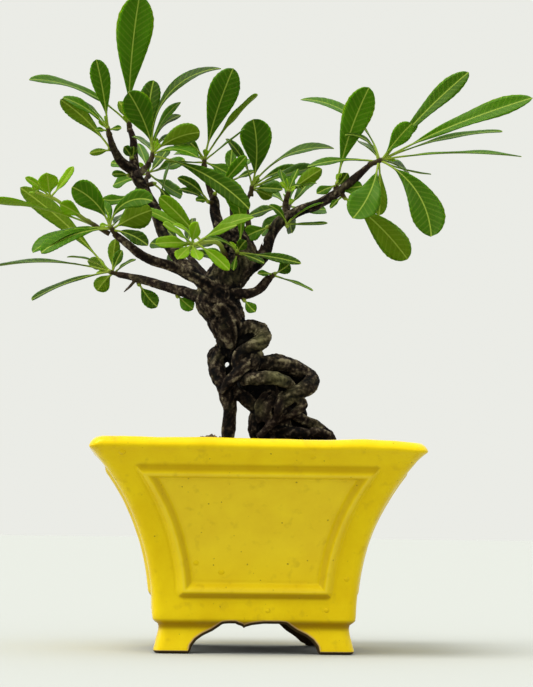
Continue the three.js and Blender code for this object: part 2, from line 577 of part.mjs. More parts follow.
// The thin shoot at the far left: a leafy stem with a tuft at its tip.
const leftShoot = {
  path: [
    [-67.8, -31, 193.4, 1.2], [-75.3, -31.8, 197.7, 1.1], [-84.1, -33.8, 203.1, 0.9],
    [-93, -36.4, 209.1, 0.8], [-101.8, -38, 212.1, 0.6],
  ],
  leaves: [
    { base: [-73.3, -31.7, 196.3], row: [154, 182, -6, 60, 10, 100] },
    { base: [-79.2, -32.8, 200.2], row: [142, 160, 18, 14, 7, 20] },
    { base: [-95, -36.8, 209.8], row: [130, 155, 14, 15, 4, 20] },
    { base: [-95, -36.8, 209.8], row: [98, 92, 35, 13, 9.5, 0] },
    { base: [-95, -36.8, 209.8], row: [48, 58, 0, 18, 5, 30] },
  ],
};

// The bright shoot that comes forward from the trunk, with its leaves pointing at the viewer.
const frontShoot = {
  path: [
    [-14, -3, 183, 1.4], [-15, -13, 187.4, 1.3], [-18, -22, 190.4, 1.1], [-24.4, -30, 189.6, 1],
    [-29.5, -36, 187.8, 0.9],
  ],
  leaves: [
    { base: [-24, -29.4, 189.6], row: [142, 158, -12, 34, 6, 40] },
    { base: [-25, -31, 189.4], row: [125, 142, 8, 29, 8, 10] },
    { base: [-26, -32, 189.2], row: [46, 5, -8, 29, 8, 45] },
    { base: [-27, -33, 189], row: [35, 8, 25, 22, 6, 40] },
    { base: [-27.5, -33.6, 188.6], row: [-30, -50, 15, 21, 6, 10] },
    { base: [-28, -34, 188.4], row: [175, 192, 30, 21, 7.5, 30] },
    { base: [-28.5, -34.8, 188.2], row: [100, 178, 20, 15, 4, 60] },
    { base: [-29, -35.4, 188], row: [140, 160, 48, 23, 6, 50] },
    { base: [-29.3, -35.8, 187.9], row: [225, 240, 55, 18, 6.5, 20] },
    { base: [-29.5, -36, 187.8], row: [300, 285, 55, 16, 6, 20] },
    { base: [-29.5, -36, 187.8], row: [80, 60, 55, 17, 6, 10] },
  ],
};

// Drops the loose scraps that seating a shoot on the bark can leave.
function largestBody(solid) {
  return solid.decompose().sort((a, b) => b.volume() - a.volume())[0];
}

function buildSpray({ at, grow, leaves }, halo) {
  const [angle, lean, length] = grow;
  const start = new THREE.Vector3(...at);
  const shoot = heading(angle, lean);
  const tip = start.clone().addScaledVector(shoot, length);
  let spray = solidOf(stem([[...start, 1.4], [...tip, 1.2]], { step: length, sides: 6 }));
  leaves.forEach((row, i) => {
    const share = 0.4 + 0.5 * (i + 0.5) / leaves.length;
    const base = start.clone().addScaledVector(shoot, length * share);
    spray = spray.add(solidOf(leaf(base, row)));
  });
  return spray.subtract(halo);
}

function buildShoot({ path, leaves }, halo) {
  let shoot = solidOf(stem(path, { step: 7, sides: 5 }));
  for (const { base, row } of leaves) {
    shoot = shoot.add(solidOf(leaf(new THREE.Vector3(...base), row)));
  }
  return shoot.subtract(halo);
}

// One matt or glossy finish, with its colour by name.
function finish(name, roughness) {
  return new THREE.MeshStandardMaterial({ name, color: colours[name], roughness, metalness: 0 });
}

const finishes = {
  glaze: finish('glaze', 0.25),
  soil: finish('soil', 0.95),
  bark: finish('bark', 0.85),
  leaf: finish('leaf', 0.45),
};

// Adds one named piece, without the slivers and loose scraps that fusing leaves behind.
function addPiece(parent, name, solid, material) {
  const fused = solidOf(geometryOf(solid)).simplify(sliverSize);
  const mesh = new THREE.Mesh(geometryOf(largestBody(fused)), material);
  mesh.name = name;
  parent.add(mesh);
}

const halo = woodSolid(clearance);
addPiece(bonsai, 'pot', buildPot(), finishes.glaze);
addPiece(bonsai, 'soil', buildSoil(), finishes.soil);
addPiece(tree, 'wood', woodSolid(), finishes.bark);
for (const [name, spray] of Object.entries(sprays)) {
  addPiece(tree, `leaves_${name}`, buildSpray(spray, halo), finishes.leaf);
}
addPiece(tree, 'leaves_left_shoot', buildShoot(leftShoot, halo), finishes.leaf);
addPiece(tree, 'leaves_front_shoot', buildShoot(frontShoot, halo), finishes.leaf);

export default bonsai;
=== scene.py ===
"""Firethorn bonsai in a square glazed pot: the visual model over its CAD frame.

Sizes are millimetres in this file, in the frame's axes, and become metres where a mesh is made.
"""

import logging
import math
from collections.abc import Callable
from dataclasses import dataclass
from enum import Enum
from typing import NamedTuple

import bmesh
import bpy
import numpy as np
from mathutils import Matrix, Vector
from mathutils.kdtree import KDTree


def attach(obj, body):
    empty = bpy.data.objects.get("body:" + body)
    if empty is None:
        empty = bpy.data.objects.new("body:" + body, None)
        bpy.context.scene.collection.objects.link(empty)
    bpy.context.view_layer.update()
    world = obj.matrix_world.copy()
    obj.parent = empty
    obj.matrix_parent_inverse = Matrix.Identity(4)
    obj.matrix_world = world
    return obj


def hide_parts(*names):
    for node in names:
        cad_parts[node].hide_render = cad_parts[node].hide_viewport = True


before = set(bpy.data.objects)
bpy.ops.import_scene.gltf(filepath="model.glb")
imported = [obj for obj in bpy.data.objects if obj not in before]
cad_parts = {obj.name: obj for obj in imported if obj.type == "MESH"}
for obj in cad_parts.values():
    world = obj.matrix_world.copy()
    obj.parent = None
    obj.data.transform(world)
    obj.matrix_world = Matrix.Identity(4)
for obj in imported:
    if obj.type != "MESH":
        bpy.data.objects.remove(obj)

log = logging.getLogger("bonsai")

METRE = 0.001
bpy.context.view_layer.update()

StemPoint = tuple[float, float, float, float]
Point = tuple[float, float, float]
Profile = tuple[tuple[float, float], ...]
Socket = bpy.types.NodeSocket


class LeafRow(NamedTuple):
    """One leaf: angles in the picture plane, lean to the viewer, size, and roll of its upper side."""

    start: float
    end: float
    lean: float
    length: float
    width: float
    turn: float


class Spray(NamedTuple):
    """Leaves on one short green shoot, which grows from a twig."""

    at: Point
    grow: tuple[float, float, float]
    leaves: list[tuple[float, ...]]


class LeafyStem(NamedTuple):
    """A longer leafy stem, with a base point for each leaf."""

    path: list[StemPoint]
    leaves: list[tuple[Point, tuple[float, ...]]]


# Middle lines of the thick wood as (x, y, z, radius) in mm, in the tree's own upright frame.
THICK_STEMS: dict[str, list[StemPoint]] = {
    "trunk": [
        (-13.6, 1, 142, 3.8), (-13.2, 1, 147.3, 6.4), (-13.8, 1, 153.3, 8.5), (-14.6, 1, 158.5, 8.9),
        (-16.4, 1, 162, 9.6), (-18, 1, 166, 10), (-17.2, 1, 172, 9.4), (-11, 1, 179, 8.2),
        (-6.2, 1, 185, 7.4), (-7.5, 1, 192, 6.4), (-9.8, 2, 199, 5.4), (-9.8, 3, 202.5, 3.4),
    ],
    "core": [
        (-13, 3, 142.6, 4.4), (-5.6, 3, 134.4, 5.2), (-1.4, 4, 126.5, 7.2), (5, 4, 119, 8),
        (8.2, 3, 111.5, 8.4), (8.4, 3, 104, 8.7), (8.5, 3, 97, 8.6), (8.5, 3, 84, 8.6),
    ],
    "upper_loop": [
        (-9, 0, 149, 4.2), (-2.8, -1, 151.8, 4.1), (2.8, -3, 149.4, 4), (3.9, -6, 145.4, 3.8),
        (-1.9, -8, 142.2, 3.5), (-7, -9, 138.8, 3.2), (-8.6, -8.4, 135.2, 2.6), (-8.4, -7.4, 132, 2.2),
    ],
    "left_loop": [
        (-13.5, 3, 144, 3.8), (-16.9, 3, 139.4, 3.9), (-18.4, 0, 133, 4), (-17.2, -3, 128, 3.6),
        (-14.8, -4, 124.6, 3.6), (-13.2, -4, 119, 3.7), (-12.2, -4, 112, 3.2), (-12.6, -4, 104, 3.1),
        (-13.2, -4, 97, 3.3), (-13.2, -4, 84, 3.3),
    ],
    "big_loop": [
        (-3, -3, 137.6, 3.7), (3.2, -4, 134.6, 3.9), (8.3, -4.4, 135.2, 4), (13.5, -3, 134.3, 4),
        (19.5, 0, 132, 4), (24.4, 2, 129.8, 3.9), (26.6, 0, 127.4, 3.8), (25.4, -3, 124.6, 3.8),
        (21, -6, 121.6, 3.7), (15.6, -8, 118.6, 3.6), (11, -8, 114.6, 3.2),
    ],
    "right_root": [
        (11, 1, 114.5, 2.8), (18, 3, 110.4, 2.7), (24, 4, 107.4, 2.9), (29, 3, 105, 3.1),
        (33.4, 1, 101.2, 3.2), (36, 0, 96.6, 3.2), (36.4, 0, 84, 3.2),
    ],
    "knot_back": [
        (2, 5, 135, 4.2), (10, 5, 131, 5), (15.6, 5, 125.6, 5.4), (18.4, 6, 119, 4.6), (16.4, 8, 111, 4.8),
        (19, 8, 103, 5.8), (25.4, 6, 97, 6), (25.4, 6, 84, 6),
    ],
    "crotch": [(-9, 3, 151, 4), (-4, 2.6, 147, 5.6), (-4.2, 1.6, 141.8, 4.8), (-3, 3, 135, 4)],
    "back_root": [
        (-8, 7, 140, 3.8), (-2, 14, 132, 3.8), (6, 18, 122, 3.6), (12, 19, 112, 3.6), (14, 20, 104, 3.8),
        (14.5, 20.5, 97, 4), (14.5, 20.5, 84, 4),
    ],
}

# Thinner strands that cross and wrap the roots.
ROOT_STRANDS: dict[str, list[StemPoint]] = {
    "diagonal_strand": [
        (2, -5, 139.4, 3.2), (-4.3, -9, 134.2, 3.1), (-8.8, -10, 129.2, 3), (-13, -9, 124.4, 2.8),
        (-14.8, -6, 120.4, 2.2),
    ],
    "front_lobe": [
        (-6, -8, 126.8, 2.9), (-1, -11.6, 127.2, 3.2), (6, -13, 127.3, 3.3), (12.6, -11.2, 126.3, 3.2),
        (16, -7.6, 124.8, 2.5), (18, -3, 123, 2.2),
    ],
    "knob": [(-2.4, -5, 139.4, 2.6), (-0.6, -8.6, 135.8, 3.3), (-1, -7.6, 131.6, 2.8)],
    "left_knot": [(-12, -2, 121.4, 3), (-6.2, -4, 119.2, 3.4), (-1.9, -4, 116, 3.6), (3, -3, 111.6, 3.4)],
    "left_lobe": [(3, -2, 114, 3.4), (0.7, -3, 108.4, 4.1), (0.8, -3, 103.6, 4.2), (4, -2, 98.6, 3.8)],
    "wrap_one": [(5, -4, 119.4, 2.2), (1.6, -8.4, 113.6, 2.3), (3.2, -7, 107.2, 2.1)],
    "wrap_two": [(9, -5, 119, 2.2), (5.6, -10.2, 113.4, 2.3), (5.8, -8.6, 107, 2)],
    "wrap_three": [(12, -5, 120, 2.2), (11.2, -11, 113.8, 2.3), (10, -8.6, 106.8, 2.1)],
    "ridge": [(13, -7, 110, 2), (6.4, -9.6, 104.8, 2), (1.8, -7.6, 99.6, 1.7)],
    "hook": [
        (17, -7, 118.2, 2.3), (22.6, -7.4, 115.2, 2.4), (19.4, -8.4, 111.6, 2.3), (13.4, -6, 108.4, 2),
    ],
    "low_loop_one": [
        (12, -4, 101.4, 2.6), (19, -6.6, 102.2, 2.6), (24.6, -5, 101, 2.5), (28.6, -2, 100.6, 2.2),
    ],
    "low_loop_two": [
        (24, -4, 100.8, 2.2), (28.6, -5.4, 102.2, 2.3), (33, -3, 101, 2.2), (36.6, 0, 99.8, 2),
    ],
    "back_loop": [
        (-14, 7, 144, 3.4), (-20, 12, 138, 3.2), (-16, 17, 130, 3.1), (-7, 18, 124, 3), (2, 12, 120, 2.8),
    ],
    "back_wrap": [(10, 6, 122, 2.8), (19, 11, 117, 2.8), (22, 16, 110, 2.8), (15, 19, 105, 2.6)],
}

# Branches, twigs and thorns.
BRANCHES: dict[str, list[StemPoint]] = {
    "lower_left": [
        (-17, -1, 166, 3.6), (-26, 0, 166.6, 3.2), (-33.2, 4, 169.1, 2.6), (-44.3, 9, 172.8, 2.2),
        (-55.9, 14, 176.5, 2), (-66.3, 18, 178.9, 1.6),
    ],
    "middle_left": [
        (-19, -4, 170, 3.8), (-27.9, -11, 174.3, 2.8), (-39.3, -18, 179.6, 2.4), (-51.1, -25, 182.7, 2.2),
        (-61.5, -29.5, 190.5, 1.8), (-65.9, -31, 193.7, 1.4),
    ],
    "leader": [
        (-20, 2, 170, 4), (-27, 3, 175.6, 3.4), (-34.1, 5, 182.6, 3), (-40.1, 8, 190.4, 2.9),
        (-45, 10, 198.9, 2.8), (-48.8, 12, 210.7, 2.7), (-52.7, 14, 218.4, 2.6), (-57.4, 15, 227, 2.6),
        (-59, 17, 235.2, 2.2), (-59.1, 18, 243.4, 1.8), (-60.9, 18, 249.9, 1.3),
    ],
    "fork_left": [
        (-57.4, 15, 227.4, 2.5), (-61.4, 13, 230.5, 2.5), (-65.4, 9, 233.9, 2.2), (-68.3, 6, 239.4, 1.8),
        (-70.1, 4, 245.5, 1.2),
    ],
    "twig_right": [
        (-57.4, 14, 227, 2), (-54.9, 6, 227.2, 1.7), (-51.8, -3, 228.7, 1.4), (-49.5, -10, 231.1, 1.1),
    ],
    "middle": [
        (-12, -1, 191, 4), (-16.4, -1, 198.4, 3), (-19, 0, 206, 2.5), (-19.6, 1, 212.6, 2.3),
        (-22.4, 2, 219.6, 1.2), (-24.4, 2, 229.6, 1),
    ],
    "thin_right": [
        (-4, 2, 188, 2.2), (-3.2, 5, 197.1, 1.7), (-3.8, 9, 206.2, 1.3), (-4.4, 12, 213, 1.1),
        (-2.2, 14, 218.3, 1),
    ],
    "thin_middle": [
        (-9.6, 4, 200, 2.4), (-11, 10, 208.2, 1.4), (-11.7, 17, 216.6, 1.1), (-11.5, 21, 223.7, 1),
    ],
    "spur": [
        (-12, -3, 168.6, 3), (-4.7, -4, 167.6, 2.4), (0.8, -4, 169.2, 2.2), (4.6, -4, 173, 2.1),
        (7, -4, 176, 1.7),
    ],
    "right_main": [
        (-7, 0, 180, 4.4), (2, 0, 184, 3), (5.8, 1, 190, 2.6), (7.4, 1, 195.9, 2.5), (11, 0, 201.6, 2.9),
        (17.5, -3, 205.5, 2.8), (23.9, -6, 208.3, 2.6), (30.4, -9, 210.5, 2.5), (39.3, -14, 215.2, 2.2),
        (46.6, -18, 220.8, 1.9), (54.1, -21, 227.5, 1.4),
    ],
    "stub": [(14.5, -1.5, 204.6, 1.9), (14.4, -2, 210.4, 1.5), (15, -3, 214.6, 1.2)],
    "thorn": [(0.6, -1, 184.6, 1.1), (2, -1.4, 188.6, 0.7), (3.4, -1.8, 192.6, 0.3)],
    "shoot_thorn": [(-57.4, 15, 176.6, 1), (-60.4, 11, 172.4, 0.7), (-63.1, 8, 169.4, 0.3)],
    "back_left": [(-20, 4, 173, 2.8), (-26, 14, 180, 2), (-31, 26, 187, 1.6), (-34, 38, 191.6, 1.2)],
    "back_right": [(6, 2, 193, 2.4), (9, 12, 201, 1.8), (13, 24, 208.6, 1.4), (16, 34, 213, 1.1)],
    "back_top": [(-51.3, 13, 216, 2.2), (-53, 20, 220.6, 1.6), (-53.4, 30, 226, 1.3), (-52.6, 40, 230, 1)],
}

# Sprays: where each grows from, the heading and length of its green shoot, and its leaves.
SPRAYS: dict[str, Spray] = {
    "crown": Spray((-60.9, 18, 249.5), (95, 0, 5), [
        (132, 183, 15, 55, 10, 60), (100, 130, -20, 14, 5, 180), (40, 0, -50, 20, 7, 60),
        (70, 60, 30, 7, 3, 0), (90, 80, 5, 61, 18, 0),
    ]),
    "fork_tip": Spray((-70.1, 4, 244.9), (100, 5, 4), [
        (170, 192, 30, 7, 3, 30), (15, -5, 20, 7, 3, 20), (128, 165, 15, 27, 7, 40),
        (115, 150, -30, 25, 4, 80), (95, 104, 10, 33, 9.5, 0),
    ]),
    "fork_low": Spray((-66.9, 7.5, 236.9), (150, 0, 4), [
        (180, 192, -20, 12, 3.5, 180), (124, 146, -5, 35, 8, 180),
    ]),
    "between_forks": Spray((-59, 16, 233), (110, 40, 3.5), [
        (110, 140, 30, 8, 5, 20), (60, 100, 20, 6, 3.5, 0),
    ]),
    "twig": Spray((-49.5, -10, 230.9), (75, 10, 5), [
        (-12, -48, 10, 55, 9.5, 15), (28, -42, 22, 25, 8, 50), (80, 0, -25, 19, 5, 60),
        (45, 0, 15, 26, 11, 150), (95, 15, -15, 26, 6, 55), (88, 35, -5, 29, 6, 50),
        (120, 150, -50, 22, 7, 60), (104, 76, -14, 37, 10, 0), (100, 1, 0, 57.5, 9.5, 55),
        (102, 125, 25, 31.5, 14, 0),
    ]),
    "middle_top": Spray((-24.4, 2, 229), (88, 0, 5), [
        (178, 184, 15, 20, 3, 85), (-22, -35, 10, 15, 7, 30), (138, 168, 15, 18, 5, 30),
        (42, 36, -8, 25, 3.5, 80), (120, 155, 5, 18, 5, 30), (150, 170, -50, 24, 8, 60),
        (60, 40, 5, 40, 8, 105), (78, 66, 8, 45, 14.5, 0),
    ]),
    "middle_side": Spray((-20.4, 0, 211.4), (165, 40, 3.4), [
        (150, 205, 30, 8, 4, 30), (140, 176, 0, 16, 4, 40), (122, 165, 12, 19, 5.5, 20),
    ]),
    "middle_front": Spray((-20, 0, 214.4), (60, 60, 4), [(52, 46, 15, 24, 6, 0)]),
    "right_top": Spray((-2.2, 14, 217.7), (80, 0, 5), [
        (-12, -25, -15, 11, 6, 180), (4, -14, 20, 16, 6, 20), (27, 5, 8, 33, 9, 45),
        (44, 0, -12, 28, 6, 30), (98, 142, 12, 27, 6, 45), (20, -5, -50, 24, 8, 60),
        (56, -10, 12, 46, 9, 60), (75, 104, 5, 32, 15.5, 0),
    ]),
    "thin_top": Spray((-11.5, 21, 222.9), (95, 0, 4), [
        (25, 18, 10, 13, 4, 40), (150, 170, -30, 18, 7, 50), (60, 40, -40, 20, 7, 50),
        (95, 80, -20, 16, 6, 20),
    ]),
    "left_node": Spray((-65.1, -31, 193.3), (125, 30, 6), [
        (-8, -42, 12, 19, 7, 20), (36, 18, -8, 21, 13, 170), (182, 222, 22, 37.5, 9, 30),
        (176, 222, 14, 40, 10, 50), (60, 40, -55, 22, 8, 60), (90, 150, -32, 20, 7, 40),
        (81, -26, 20, 28, 9, 20), (110, 160, 22, 26.5, 12.5, 10),
    ]),
    "lower_left": Spray((-65.7, 18, 178.7), (160, 0, 6), [
        (50, 20, -25, 14, 4, 60), (218, 240, 8, 12, 8, 180), (92, 80, -8, 17, 6, 180),
        (70, 60, 15, 12, 5, 20), (135, 185, -20, 26, 4, 85), (140, 165, -32, 16, 6, 170),
        (190, 212, 12, 41, 8, 60), (163, 197, 3, 63, 8, 72), (128, 145, -10, 62, 9.5, 180),
    ]),
    "trunk_front": Spray((-8.4, -5.5, 185.4), (95, 60, 5), [
        (250, 265, 20, 9, 3, 20), (-15, -32, 30, 16, 4, 30), (-5, -16, 8, 31, 5.5, 30),
        (60, 40, 45, 9, 5.5, 0), (130, 190, 25, 18, 4, 50), (72, 128, 5, 36, 9.5, 10),
    ]),
    "leader_right": Spray((-51.7, 14, 222), (10, 20, 4), [(-32, -88, 18, 19, 5, 30)]),
    "leader_left": Spray((-57.9, 15, 226), (170, 10, 4), [(165, 190, 10, 9, 4, 20)]),
    "leader_back": Spray((-55.3, 14, 219.6), (215, 0, 4), [(215, 165, 0, 18, 6, 30)]),
    "leader_upright": Spray((-47.6, 12, 207.7), (60, -30, 4), [(85, 68, -12, 27, 5, 80)]),
    "hanging_left": Spray((-56.4, 14, 176.4), (-80, 10, 3.4), [(-62, -42, 10, 15, 8, 10)]),
    "hanging_middle": Spray((-37.8, 6, 170.6), (-80, 10, 4), [(-50, -35, 15, 11, 7, 10)]),
    "hanging_right": Spray((-6, -4, 167.6), (-75, 20, 4), [(-60, -40, 20, 9, 5.5, 10)]),
    "spur_tip": Spray((7, -4, 175.4), (40, 10, 3.6), [
        (-15, -30, 12, 21, 3.5, 60), (170, 190, 30, 9, 3.5, 30), (25, 40, 20, 9, 6.5, 0),
    ]),
    "right_low": Spray((14, -1.5, 203.2), (-70, 30, 4.4), [
        (-5, 3, 10, 20, 3.5, 50), (50, 5, 30, 23, 3, 80), (105, 165, 30, 15, 4.5, 30),
    ]),
    "right_inner": Spray((9, 0.5, 199.4), (170, 10, 4), [(195, 212, 8, 13, 8, 10)]),
    "stub_tip": Spray((15, -3, 213.9), (70, 10, 4), [
        (42, 30, 5, 20, 7, 180), (40, -5, 15, 15, 2.6, 80), (80, -60, 15, 9, 2.6, 40),
        (120, 100, -30, 14, 5, 40), (75, 60, -15, 12, 4, 40),
    ]),
    "branch_upper": Spray((37.7, -13, 214.3), (80, 0, 6), [
        (-5, 5, 30, 14, 7, 20), (40, 60, 28, 9, 5, 0), (200, 215, 34, 13, 5, 20), (80, 63, 6, 48, 14, 0),
    ]),
    "branch_under": Spray((40.3, -14.4, 215.4), (-60, 0, 4.4), [
        (215, 235, 10, 9, 3, 30), (-34, -54, -5, 42, 14, 180),
    ]),
    "right_whorl": Spray((54.1, -21, 227.4), (22, 0, 8), [
        (172, 200, 10, 34, 6, 50), (92, 188, -8, 22.5, 5, 60), (-97, -130, 35, 40, 15, 10),
        (-85, -95, 5, 26, 7, 180), (98, 178, -28, 60, 8, 50), (-20, -5, -20, 27, 3, 80),
        (-28, -90, 18, 48.5, 16, 10), (120, 140, -50, 24, 8, 60), (0, -30, -50, 22, 8, 60),
        (56, 42, 25, 23, 9, 10), (9, -9, 10, 65.5, 6, 70), (55, 40, -12, 25, 6, 20),
        (26, 2, -8, 59.5, 6.5, 60), (52, 40, -2, 58, 10, 25), (29, 14, 4, 75, 10.5, 30),
    ]),
}

# The thin leafy stem at the far left.
LEFT_SHOOT = LeafyStem(
    path=[
        (-67.8, -31, 193.4, 1.2), (-75.3, -31.8, 197.7, 1.1), (-84.1, -33.8, 203.1, 0.9),
        (-93, -36.4, 209.1, 0.8), (-101.8, -38, 212.1, 0.6),
    ],
    leaves=[
        ((-73.3, -31.7, 196.3), (154, 182, -6, 60, 10, 100)),
        ((-79.2, -32.8, 200.2), (142, 160, 18, 14, 7, 20)),
        ((-95, -36.8, 209.8), (130, 155, 14, 15, 4, 20)), ((-95, -36.8, 209.8), (98, 92, 35, 13, 9.5, 0)),
        ((-95, -36.8, 209.8), (48, 58, 0, 18, 5, 30)),
    ],
)

# The bright shoot that comes forward from the trunk.
FRONT_SHOOT = LeafyStem(
    path=[
        (-14, -3, 183, 1.4), (-15, -13, 187.4, 1.3), (-18, -22, 190.4, 1.1), (-24.4, -30, 189.6, 1),
        (-29.5, -36, 187.8, 0.9),
    ],
    leaves=[
        ((-24, -29.4, 189.6), (142, 158, -12, 34, 6, 40)), ((-25, -31, 189.4), (125, 142, 8, 29, 8, 10)),
        ((-26, -32, 189.2), (46, 5, -8, 29, 8, 45)), ((-27, -33, 189), (35, 8, 25, 22, 6, 40)),
        ((-27.5, -33.6, 188.6), (-30, -50, 15, 21, 6, 10)),
        ((-28, -34, 188.4), (175, 192, 30, 21, 7.5, 30)),
        ((-28.5, -34.8, 188.2), (100, 178, 20, 15, 4, 60)), ((-29, -35.4, 188), (140, 160, 48, 23, 6, 50)),
        ((-29.3, -35.8, 187.9), (225, 240, 55, 18, 6.5, 20)),
        ((-29.5, -36, 187.8), (300, 285, 55, 16, 6, 20)), ((-29.5, -36, 187.8), (80, 60, 55, 17, 6, 10)),
    ],
)

# Whorls at the back: seven leaves each, turned by the golden angle from a first angle.
BACK_WHORLS: dict[str, tuple[Point, tuple[float, float, float], float]] = {
    "back_left": ((-34, 37.4, 191.4), (120, -60, 5), 20),
    "back_right": ((16, 33.4, 212.8), (70, -60, 5), 80),
    "back_top": ((-52.7, 39.4, 229.7), (95, -60, 5), 50),
}
GOLDEN_ANGLE = 137.5

# How the tree stands in its pot: turned and tilted a little, and set off centre.
TREE_TURN = 2.4
TREE_TILT = 0.65
TREE_SHIFT = 2.5

# Side veins of a leaf: mm from one to the next, and how far each runs forward for 1 mm outward.
VEIN_STEP = 3.0
VEIN_SLOPE = 0.85


def linear(code: str) -> tuple[float, float, float, float]:
    """Turn an sRGB hex colour into Blender's linear colour.

    Args:
        code: colour such as "#D8B81E".

    Returns:
        Linear red, green, blue and an alpha of 1.
    """
    channels = [int(code[i:i + 2], 16) / 255 for i in (1, 3, 5)]
    values = [c / 12.92 if c <= 0.04045 else ((c + 0.055) / 1.055) ** 2.4 for c in channels]
    return values[0], values[1], values[2], 1.0


def add_node(tree: bpy.types.NodeTree, kind: str, inputs: dict | None = None,
             **options: str) -> bpy.types.Node:
    """Add one shader node with its settings and links.

    Args:
        tree: node tree that gets the node.
        kind: the node's type name, without its "ShaderNode" start.
        inputs: names or numbers of inputs, each with a constant or with the output that feeds it.
        **options: the node's own properties, such as its operation.

    Returns:
        The new node.
    """
    node = tree.nodes.new("ShaderNode" + kind)
    for name, value in options.items():
        setattr(node, name, value)
    for name, value in (inputs or {}).items():
        if isinstance(value, Socket):
            tree.links.new(value, node.inputs[name])
        else:
            node.inputs[name].default_value = value
    return node


class Finish:
    """A material under construction, with a short form of each kind of node that recurs.

    Where a method takes a value, it is a number or the output that feeds it.
    """

    def __init__(self, name: str) -> None:
        """Start an empty material of this name."""
        self.material = bpy.data.materials.new(name)
        self.material.use_nodes = True
        self.tree = self.material.node_tree
        self.tree.nodes.clear()
        self.place = add_node(self.tree, "TexCoord").outputs["Object"]

    def value(self, name: str) -> Socket:
        """Read a point value of the mesh."""
        return add_node(self.tree, "Attribute", attribute_name=name).outputs["Fac"]

    def parts(self, name: str) -> tuple[Socket, Socket, Socket]:
        """Read the three parts of a point value that is a vector."""
        vector = add_node(self.tree, "Attribute", attribute_name=name).outputs["Vector"]
        return tuple(add_node(self.tree, "SeparateXYZ", {0: vector}).outputs)

    def noise(self, scale: float, detail: float, roughness: float = 0.5) -> Socket:
        """Smooth noise fixed to the object: a scale of 1000 has lumps of about 1 mm, and 100 of 10 mm."""
        inputs = {"Vector": self.place, "Scale": scale, "Detail": detail, "Roughness": roughness}
        return add_node(self.tree, "TexNoise", inputs).outputs["Fac"]

    def math(self, operation: str, *values: Socket | float) -> Socket:
        """One step of arithmetic on values."""
        return add_node(self.tree, "Math", dict(enumerate(values)), operation=operation).outputs[0]

    def span(self, value: Socket, start: float, end: float, low: float = 0.0, high: float = 1.0) -> Socket:
        """Map a value's course from start to end onto the course from low to high, and hold it outside."""
        inputs = {"Value": value, "From Min": start, "From Max": end, "To Min": low, "To Max": high}
        return add_node(self.tree, "MapRange", inputs).outputs["Result"]

    def ramp(self, share: Socket, *stops: tuple[float, str]) -> Socket:
        """Colour by a value, through stops of a place and an sRGB hex colour."""
        node = add_node(self.tree, "ValToRGB", {"Fac": share})
        elements = node.color_ramp.elements
        while len(elements) < len(stops):
            elements.new(0.5)
        for element, (place, code) in zip(elements, stops):
            element.position = place
            element.color = linear(code)
        return node.outputs["Color"]

    def over(self, ground: Socket, layer: Socket | str, share: Socket) -> Socket:
        """Lay a colour, which is an output or an sRGB hex code, over another by a share."""
        colour = linear(layer) if isinstance(layer, str) else layer
        return add_node(self.tree, "Mix", {0: share, 6: ground, 7: colour}, data_type="RGBA").outputs[2]

    def bump(self, height: Socket, strength: float, distance: float) -> Socket:
        """Relief that is only shaded; the distance is in metres."""
        inputs = {"Height": height, "Strength": strength, "Distance": distance}
        return add_node(self.tree, "Bump", inputs).outputs["Normal"]

    def shade(self, inputs: dict) -> bpy.types.Material:
        """End with the surface shader, and give the finished material."""
        shader = add_node(self.tree, "BsdfPrincipled", inputs)
        add_node(self.tree, "OutputMaterial", {"Surface": shader.outputs[0]})
        return self.material


def rotation_about(axis: int, degrees: float) -> np.ndarray:
    """Give the 3 by 3 matrix that turns by an angle about axis 0, 1 or 2."""
    c, s = math.cos(math.radians(degrees)), math.sin(math.radians(degrees))
    first, second = [(1, 2), (2, 0), (0, 1)][axis]
    matrix = np.eye(3)
    matrix[first, first] = matrix[second, second] = c
    matrix[first, second], matrix[second, first] = -s, s
    return matrix


TREE_ROTATION = rotation_about(1, -TREE_TILT) @ rotation_about(2, -TREE_TURN)


def in_pot(points: np.ndarray) -> np.ndarray:
    """Carry points in mm from the tree's own upright frame to where it stands in the pot."""
    return points @ TREE_ROTATION.T + np.array([TREE_SHIFT, 0.0, 0.0])


def waves(points: np.ndarray, size: float, seed: int, count: int = 14) -> np.ndarray:
    """Smooth random relief between about -1 and 1 at each point.

    Args:
        points: n by 3 array of places.
        size: distance from one lump to the next, in the points' unit.
        seed: start of the random draw.
        count: number of waves that are added up.

    Returns:
        One value for each point.
    """
    rng = np.random.default_rng(seed)
    ways = rng.normal(size=(count, 3))
    ways /= np.linalg.norm(ways, axis=1)[:, None]
    lengths = size * rng.uniform(0.7, 1.5, count)
    phases = rng.uniform(0, 2 * np.pi, count)
    total = np.zeros(len(points))
    for way, length, phase in zip(ways, lengths, phases):
        total += np.sin(points @ way * (2 * np.pi / length) + phase)
    return total / math.sqrt(count)


